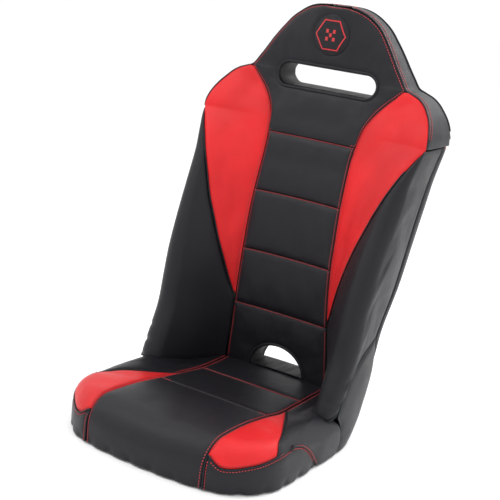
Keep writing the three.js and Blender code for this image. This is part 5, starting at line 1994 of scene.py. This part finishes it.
    def build_pull(self) -> None:
        """Builds the zip's pull: a tapered tab with a grip hole and a ring end."""
        low, high = (Vector(corner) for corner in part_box("zip_pull"))
        middle, size = (low + high) / 2, (high - low) / MM
        bm = bmesh.new()
        half_width, wall = size.x / 2 * MM, size.y * 0.8 * MM
        rings = ((high.z - 0.0028, 0.0026, 0.0013), (low.z + 0.006, half_width, 0.0014))
        for centre_z, outer, inner in rings:
            profile = [(inner, -wall / 2), (outer, -wall / 2), (outer, wall / 2), (inner, wall / 2)]
            verts = [bm.verts.new((r, h, 0)) for r, h in profile]
            edges = [bm.edges.new((verts[i], verts[(i + 1) % 4])) for i in range(4)]
            bmesh.ops.spin(bm, geom=verts + edges, axis=(0, 1, 0), cent=(0, 0, 0), angle=math.tau, steps=24,
                           use_merge=True)
            fresh = [vert for vert in bm.verts if vert.co.length < 0.01]
            bmesh.ops.translate(bm, verts=fresh, vec=(middle.x, middle.y, centre_z))
        tab = (size.x * 0.62, size.y * 0.8, size.z * 0.58)
        self.block(bm, (middle.x, middle.y, middle.z + 0.0022), tab, 0.3)
        bmesh.ops.remove_doubles(bm, verts=bm.verts, dist=1e-6)
        bmesh.ops.recalc_face_normals(bm, faces=bm.faces)
        finish_piece("zip_pull_tab", to_mesh("zip_pull_tab", bm), Finish.ZIP_METAL, ["zip_pull"], body="pull")


@dataclass
class Badge:
    """The embroidered badge on the head: a hexagon round a small chequer."""

    head: Panel
    level: float = BADGE_LEVEL
    radius: float = 42.0
    hexagon: float = 36.0
    square: float = 8.0
    satin: float = 0.95
    crown: float = 2.2
    tree: KDTree = field(init=False)

    def build(self) -> None:
        """Builds the vinyl patch and its embroidery."""
        places = self.head.net.reshape(-1, 3)
        self.tree = KDTree(len(places))
        for k, place in enumerate(places):
            self.tree.insert((place[0], 0, place[2]), k)
        self.tree.balance()
        rings = np.linspace(0.02, 1, 16)
        turn = np.linspace(0, math.tau, 73)
        a, r = np.meshgrid(turn, rings)
        x, z = r * self.radius * np.cos(a), self.level + r * self.radius * np.sin(a)
        net = self.place(x, z, 0.0)
        facing = normals_of(net)
        bm = grid_of(net if facing[8, 8, 1] < 0 else net[:, ::-1], 0.0014)
        finish_piece("badge_patch", to_mesh("badge_patch", bm), Finish.BLACK_VINYL, ["head_badge"])
        rows = Stitching("badge_embroidery", gauge=1.0)
        self.satin_hexagon(rows)
        self.satin_chequer(rows)
        rows.done()

    def place(self, x: Array, z: Array, lift: float) -> Array:
        """Returns places over the head's face, in metres.

        Args:
            x: distances from the centre plane, in pattern millimetres.
            z: heights.
            lift: height over the patch, in millimetres.

        Returns:
            The places.
        """
        away = np.hypot(x, z - self.level) / self.radius
        points = GRADE.place(stack(x, 0 * x, z))
        face = self.head.net.reshape(-1, 3)
        for index in np.ndindex(x.shape):
            near = self.tree.find_n((points[index][0], 0, points[index][2]), 4)
            weights = np.array([1 / (distance + 1e-5) for _, _, distance in near])
            level = np.array([face[k][1] for _, k, _ in near])
            points[index][1] = (weights * level).sum() / weights.sum()
        points[..., 1] -= (self.crown * (1 - away**2) + 0.6 + lift) * MM
        return points

    def thread(self, rows: Stitching, start: Sequence[float], end: Sequence[float]) -> None:
        """Adds one thread between two places of the patch, given from its middle.

        Args:
            rows: the embroidery.
            start: x and z of its one end, in millimetres.
            end: x and z of its other end.
        """
        x, z = np.array([start[0], end[0]]), self.level + np.array([start[1], end[1]])
        ends = [Vector(point) for point in self.place(x, z, 0.25)]
        along = ends[1] - ends[0]
        up = Vector((0, -1, 0.05)).normalized()
        rows.stitch((ends[0] + ends[1]) / 2, along, up)

    def satin_hexagon(self, rows: Stitching) -> None:
        """Sews the hexagon's outline in satin stitch.

        Args:
            rows: the embroidery.
        """
        width = 3.4
        corners = [(self.hexagon * math.cos(k * math.pi / 3), self.hexagon * math.sin(k * math.pi / 3))
                   for k in range(7)]
        for (x0, z0), (x1, z1) in zip(corners, corners[1:]):
            count = int(math.hypot(x1 - x0, z1 - z0) / self.satin)
            for k in range(count):
                share = k / count
                x, z = lerp(x0, x1, share), lerp(z0, z1, share)
                inner = 1 - width / math.hypot(x, z)
                self.thread(rows, (x, z), (x * inner, z * inner))

    def satin_chequer(self, rows: Stitching) -> None:
        """Sews five squares of a chequer in satin stitch."""
        for row in range(3):
            for column in range(3):
                if (row + column) % 2:
                    continue
                x0, z0 = (column - 1.5) * self.square, (row - 1.5) * self.square
                for k in range(int(self.square / self.satin)):
                    z = z0 + (k + 0.5) * self.satin
                    self.thread(rows, (x0 + 0.3, z), (x0 + self.square - 0.3, z + 0.25))


# ---------------------------------------------------------------- inside: frame, webbing and foam
@dataclass
class Inside:
    """The tube frame, the mounting plates, the webbing and the moulded foam."""

    frame_tube: float = 12.7
    brace_tube: float = 9.5
    octagon_loss: float = 0.098

    def build(self) -> None:
        """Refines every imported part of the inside."""
        tubes = {"base_frame_loop": self.frame_tube, "back_frame_hoop": self.frame_tube,
                 "base_cross_tube_front": self.frame_tube, "base_cross_tube_rear": self.frame_tube,
                 "shoulder_cross_tube": self.brace_tube, "lumbar_cross_tube": self.brace_tube,
                 "hip_cross_tube": self.brace_tube, "bolster_brace_left": self.brace_tube,
                 "bolster_brace_right": self.brace_tube}
        for node, radius in tubes.items():
            self.refine(node, Finish.FRAME_PAINT, 2, swell=radius * self.octagon_loss)
        for place in ("front_left", "front_right", "rear_left", "rear_right"):
            self.refine(f"mount_plate_{place}", Finish.STEEL, 0, bevel=0.5)
            self.refine(f"mount_nut_{place}", Finish.STEEL, 0, bevel=0.6)
        for k in range(1, 5):
            self.refine(f"seat_strap_{k}", Finish.WEBBING, 0, bevel=0.5)
            self.refine(f"back_strap_{k}", Finish.WEBBING, 0, bevel=0.5)
        for node in ("back_foam", "bolster_foam_left", "bolster_foam_right", "head_foam", "seat_foam"):
            self.refine(node, Finish.FOAM, 0)

    def refine(self, node: str, finish: Finish, levels: int, bevel: float = 0.0, swell: float = 0.0) -> None:
        """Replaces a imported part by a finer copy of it.

        Args:
            node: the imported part.
            finish: its finish.
            levels: levels of subdivision.
            bevel: radius of its edges, in millimetres.
            swell: what the subdivision takes off a tube's radius, in millimetres.
        """
        bm = bmesh.new()
        bm.from_mesh(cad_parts[node].data)
        bmesh.ops.remove_doubles(bm, verts=bm.verts, dist=1e-5)
        if bevel or levels:
            bmesh.ops.dissolve_limit(bm, angle_limit=math.radians(1.0), verts=bm.verts, edges=bm.edges)
            bmesh.ops.join_triangles(bm, faces=bm.faces, angle_face_threshold=0.7, angle_shape_threshold=3.1)
        if bevel:
            turn = math.radians(40)
            sharp = [e for e in bm.edges if len(e.link_faces) == 2 and e.calc_face_angle(0) > turn]
            bmesh.ops.bevel(bm, geom=sharp, offset=bevel * MM, affect="EDGES", segments=2, profile=0.5,
                            material=-1, clamp_overlap=True)
        bm.normal_update()
        for vert in bm.verts:
            vert.co += vert.normal * swell * MM
        name = f"{node}_finished"
        piece = finish_piece(name, to_mesh(name, bm), finish, [node])
        if levels:
            rounding = piece.modifiers.new("rounding", "SUBSURF")
            rounding.levels = rounding.render_levels = levels


# ---------------------------------------------------------------- studio
@dataclass(frozen=True)
class Studio:
    """A pale floor, soft light and the camera, placed by the seat's own middle."""

    lens: float = 82.9
    eye: tuple[float, float, float] = (1154.6, -2005.2, 959.3)  # pattern millimetres
    right: tuple[float, float, float] = (0.8325, 0.5429, 0.1105)
    up: tuple[float, float, float] = (-0.2309, 0.1588, 0.9599)
    back: tuple[float, float, float] = (0.5036, -0.8246, 0.2575)
    world_strength: float = 1.08
    floor_size: float = 14.0
    floor_gap: float = 0.001
    lamps: tuple[tuple[str, tuple[float, float, float], float, float], ...] = (
        ("key_light", (-1.3, -1.0, 2.6), 1.3, 34.0),
        ("fill_light", (2.2, -0.9, 1.3), 1.2, 9.0),
        ("rim_light", (0.9, 1.5, 2.2), 1.2, 44.0),
    )

    def build(self) -> None:
        """Adds the floor, the lights and the camera."""
        self.floor()
        for name, place, size, power in self.lamps:
            self.lamp(name, place, size, power)
        world = bpy.data.worlds.new("studio")
        world.use_nodes = True
        world.node_tree.nodes["Background"].inputs["Color"].default_value = (1, 1, 1, 1)
        world.node_tree.nodes["Background"].inputs["Strength"].default_value = self.world_strength
        bpy.context.scene.world = world
        bpy.context.scene.view_settings.view_transform = "Standard"
        self.camera()

    def floor(self) -> None:
        """Lays a wide pale floor just under the seat."""
        bm = bmesh.new()
        bmesh.ops.create_grid(bm, x_segments=4, y_segments=4, size=self.floor_size)
        bmesh.ops.translate(bm, verts=bm.verts, vec=(0, 0, -self.floor_gap))
        floor = bpy.data.objects.new("studio_floor", to_mesh("studio_floor", bm))
        bpy.context.scene.collection.objects.link(floor)
        tree = Nodes("pale_floor")
        speck = tree.noise(3.0, 4.0)
        tree.feed("Base Color", tree.blend(speck, rgb(0.9, 0.9, 0.9), rgb(0.95, 0.95, 0.95)))
        tree.feed("Roughness", 0.8)
        floor.data.materials.append(tree.material)

    def lamp(self, name: str, place: tuple[float, float, float], size: float, power: float) -> None:
        """Hangs a soft lamp that faces the seat.

        Args:
            name: the lamp's name.
            place: where it hangs, in metres.
            size: width of its diffuser.
            power: its power in watts.
        """
        light = bpy.data.lights.new(name, "AREA")
        light.energy = power
        light.size = size
        lamp = bpy.data.objects.new(name, light)
        lamp.location = place
        lamp.rotation_euler = (Vector(place) - Vector((0, 0, 0.4))).to_track_quat("Z", "Y").to_euler()
        bpy.context.scene.collection.objects.link(lamp)

    def camera(self) -> None:
        """Sets the camera up."""
        data = bpy.data.cameras.new("studio_camera")
        data.lens = self.lens
        data.sensor_width = 36.0
        data.clip_end = 50.0
        camera = bpy.data.objects.new("studio_camera", data)
        bpy.context.scene.collection.objects.link(camera)
        turn = Matrix((self.right, self.up, self.back)).transposed().to_4x4()
        eye = GRADE.place(np.array(self.eye))
        camera.matrix_world = Matrix.Translation(Vector(eye)) @ turn
        bpy.context.scene.camera = camera


def main() -> None:
    """Builds the seat and its stage, and logs each piece's face count."""
    logging.basicConfig(level=logging.INFO, format="%(message)s")
    Studio().build()
    back = BackCover()
    back.build()
    sides = SideCover()
    sides.build()
    Seams(back, sides).build()
    CushionCover().build()
    Openings().build()
    RearCover().build()
    Badge(back.panels["head_and_chest_panel"]).build()
    Inside().build()


if __name__ == "__main__":
    main()
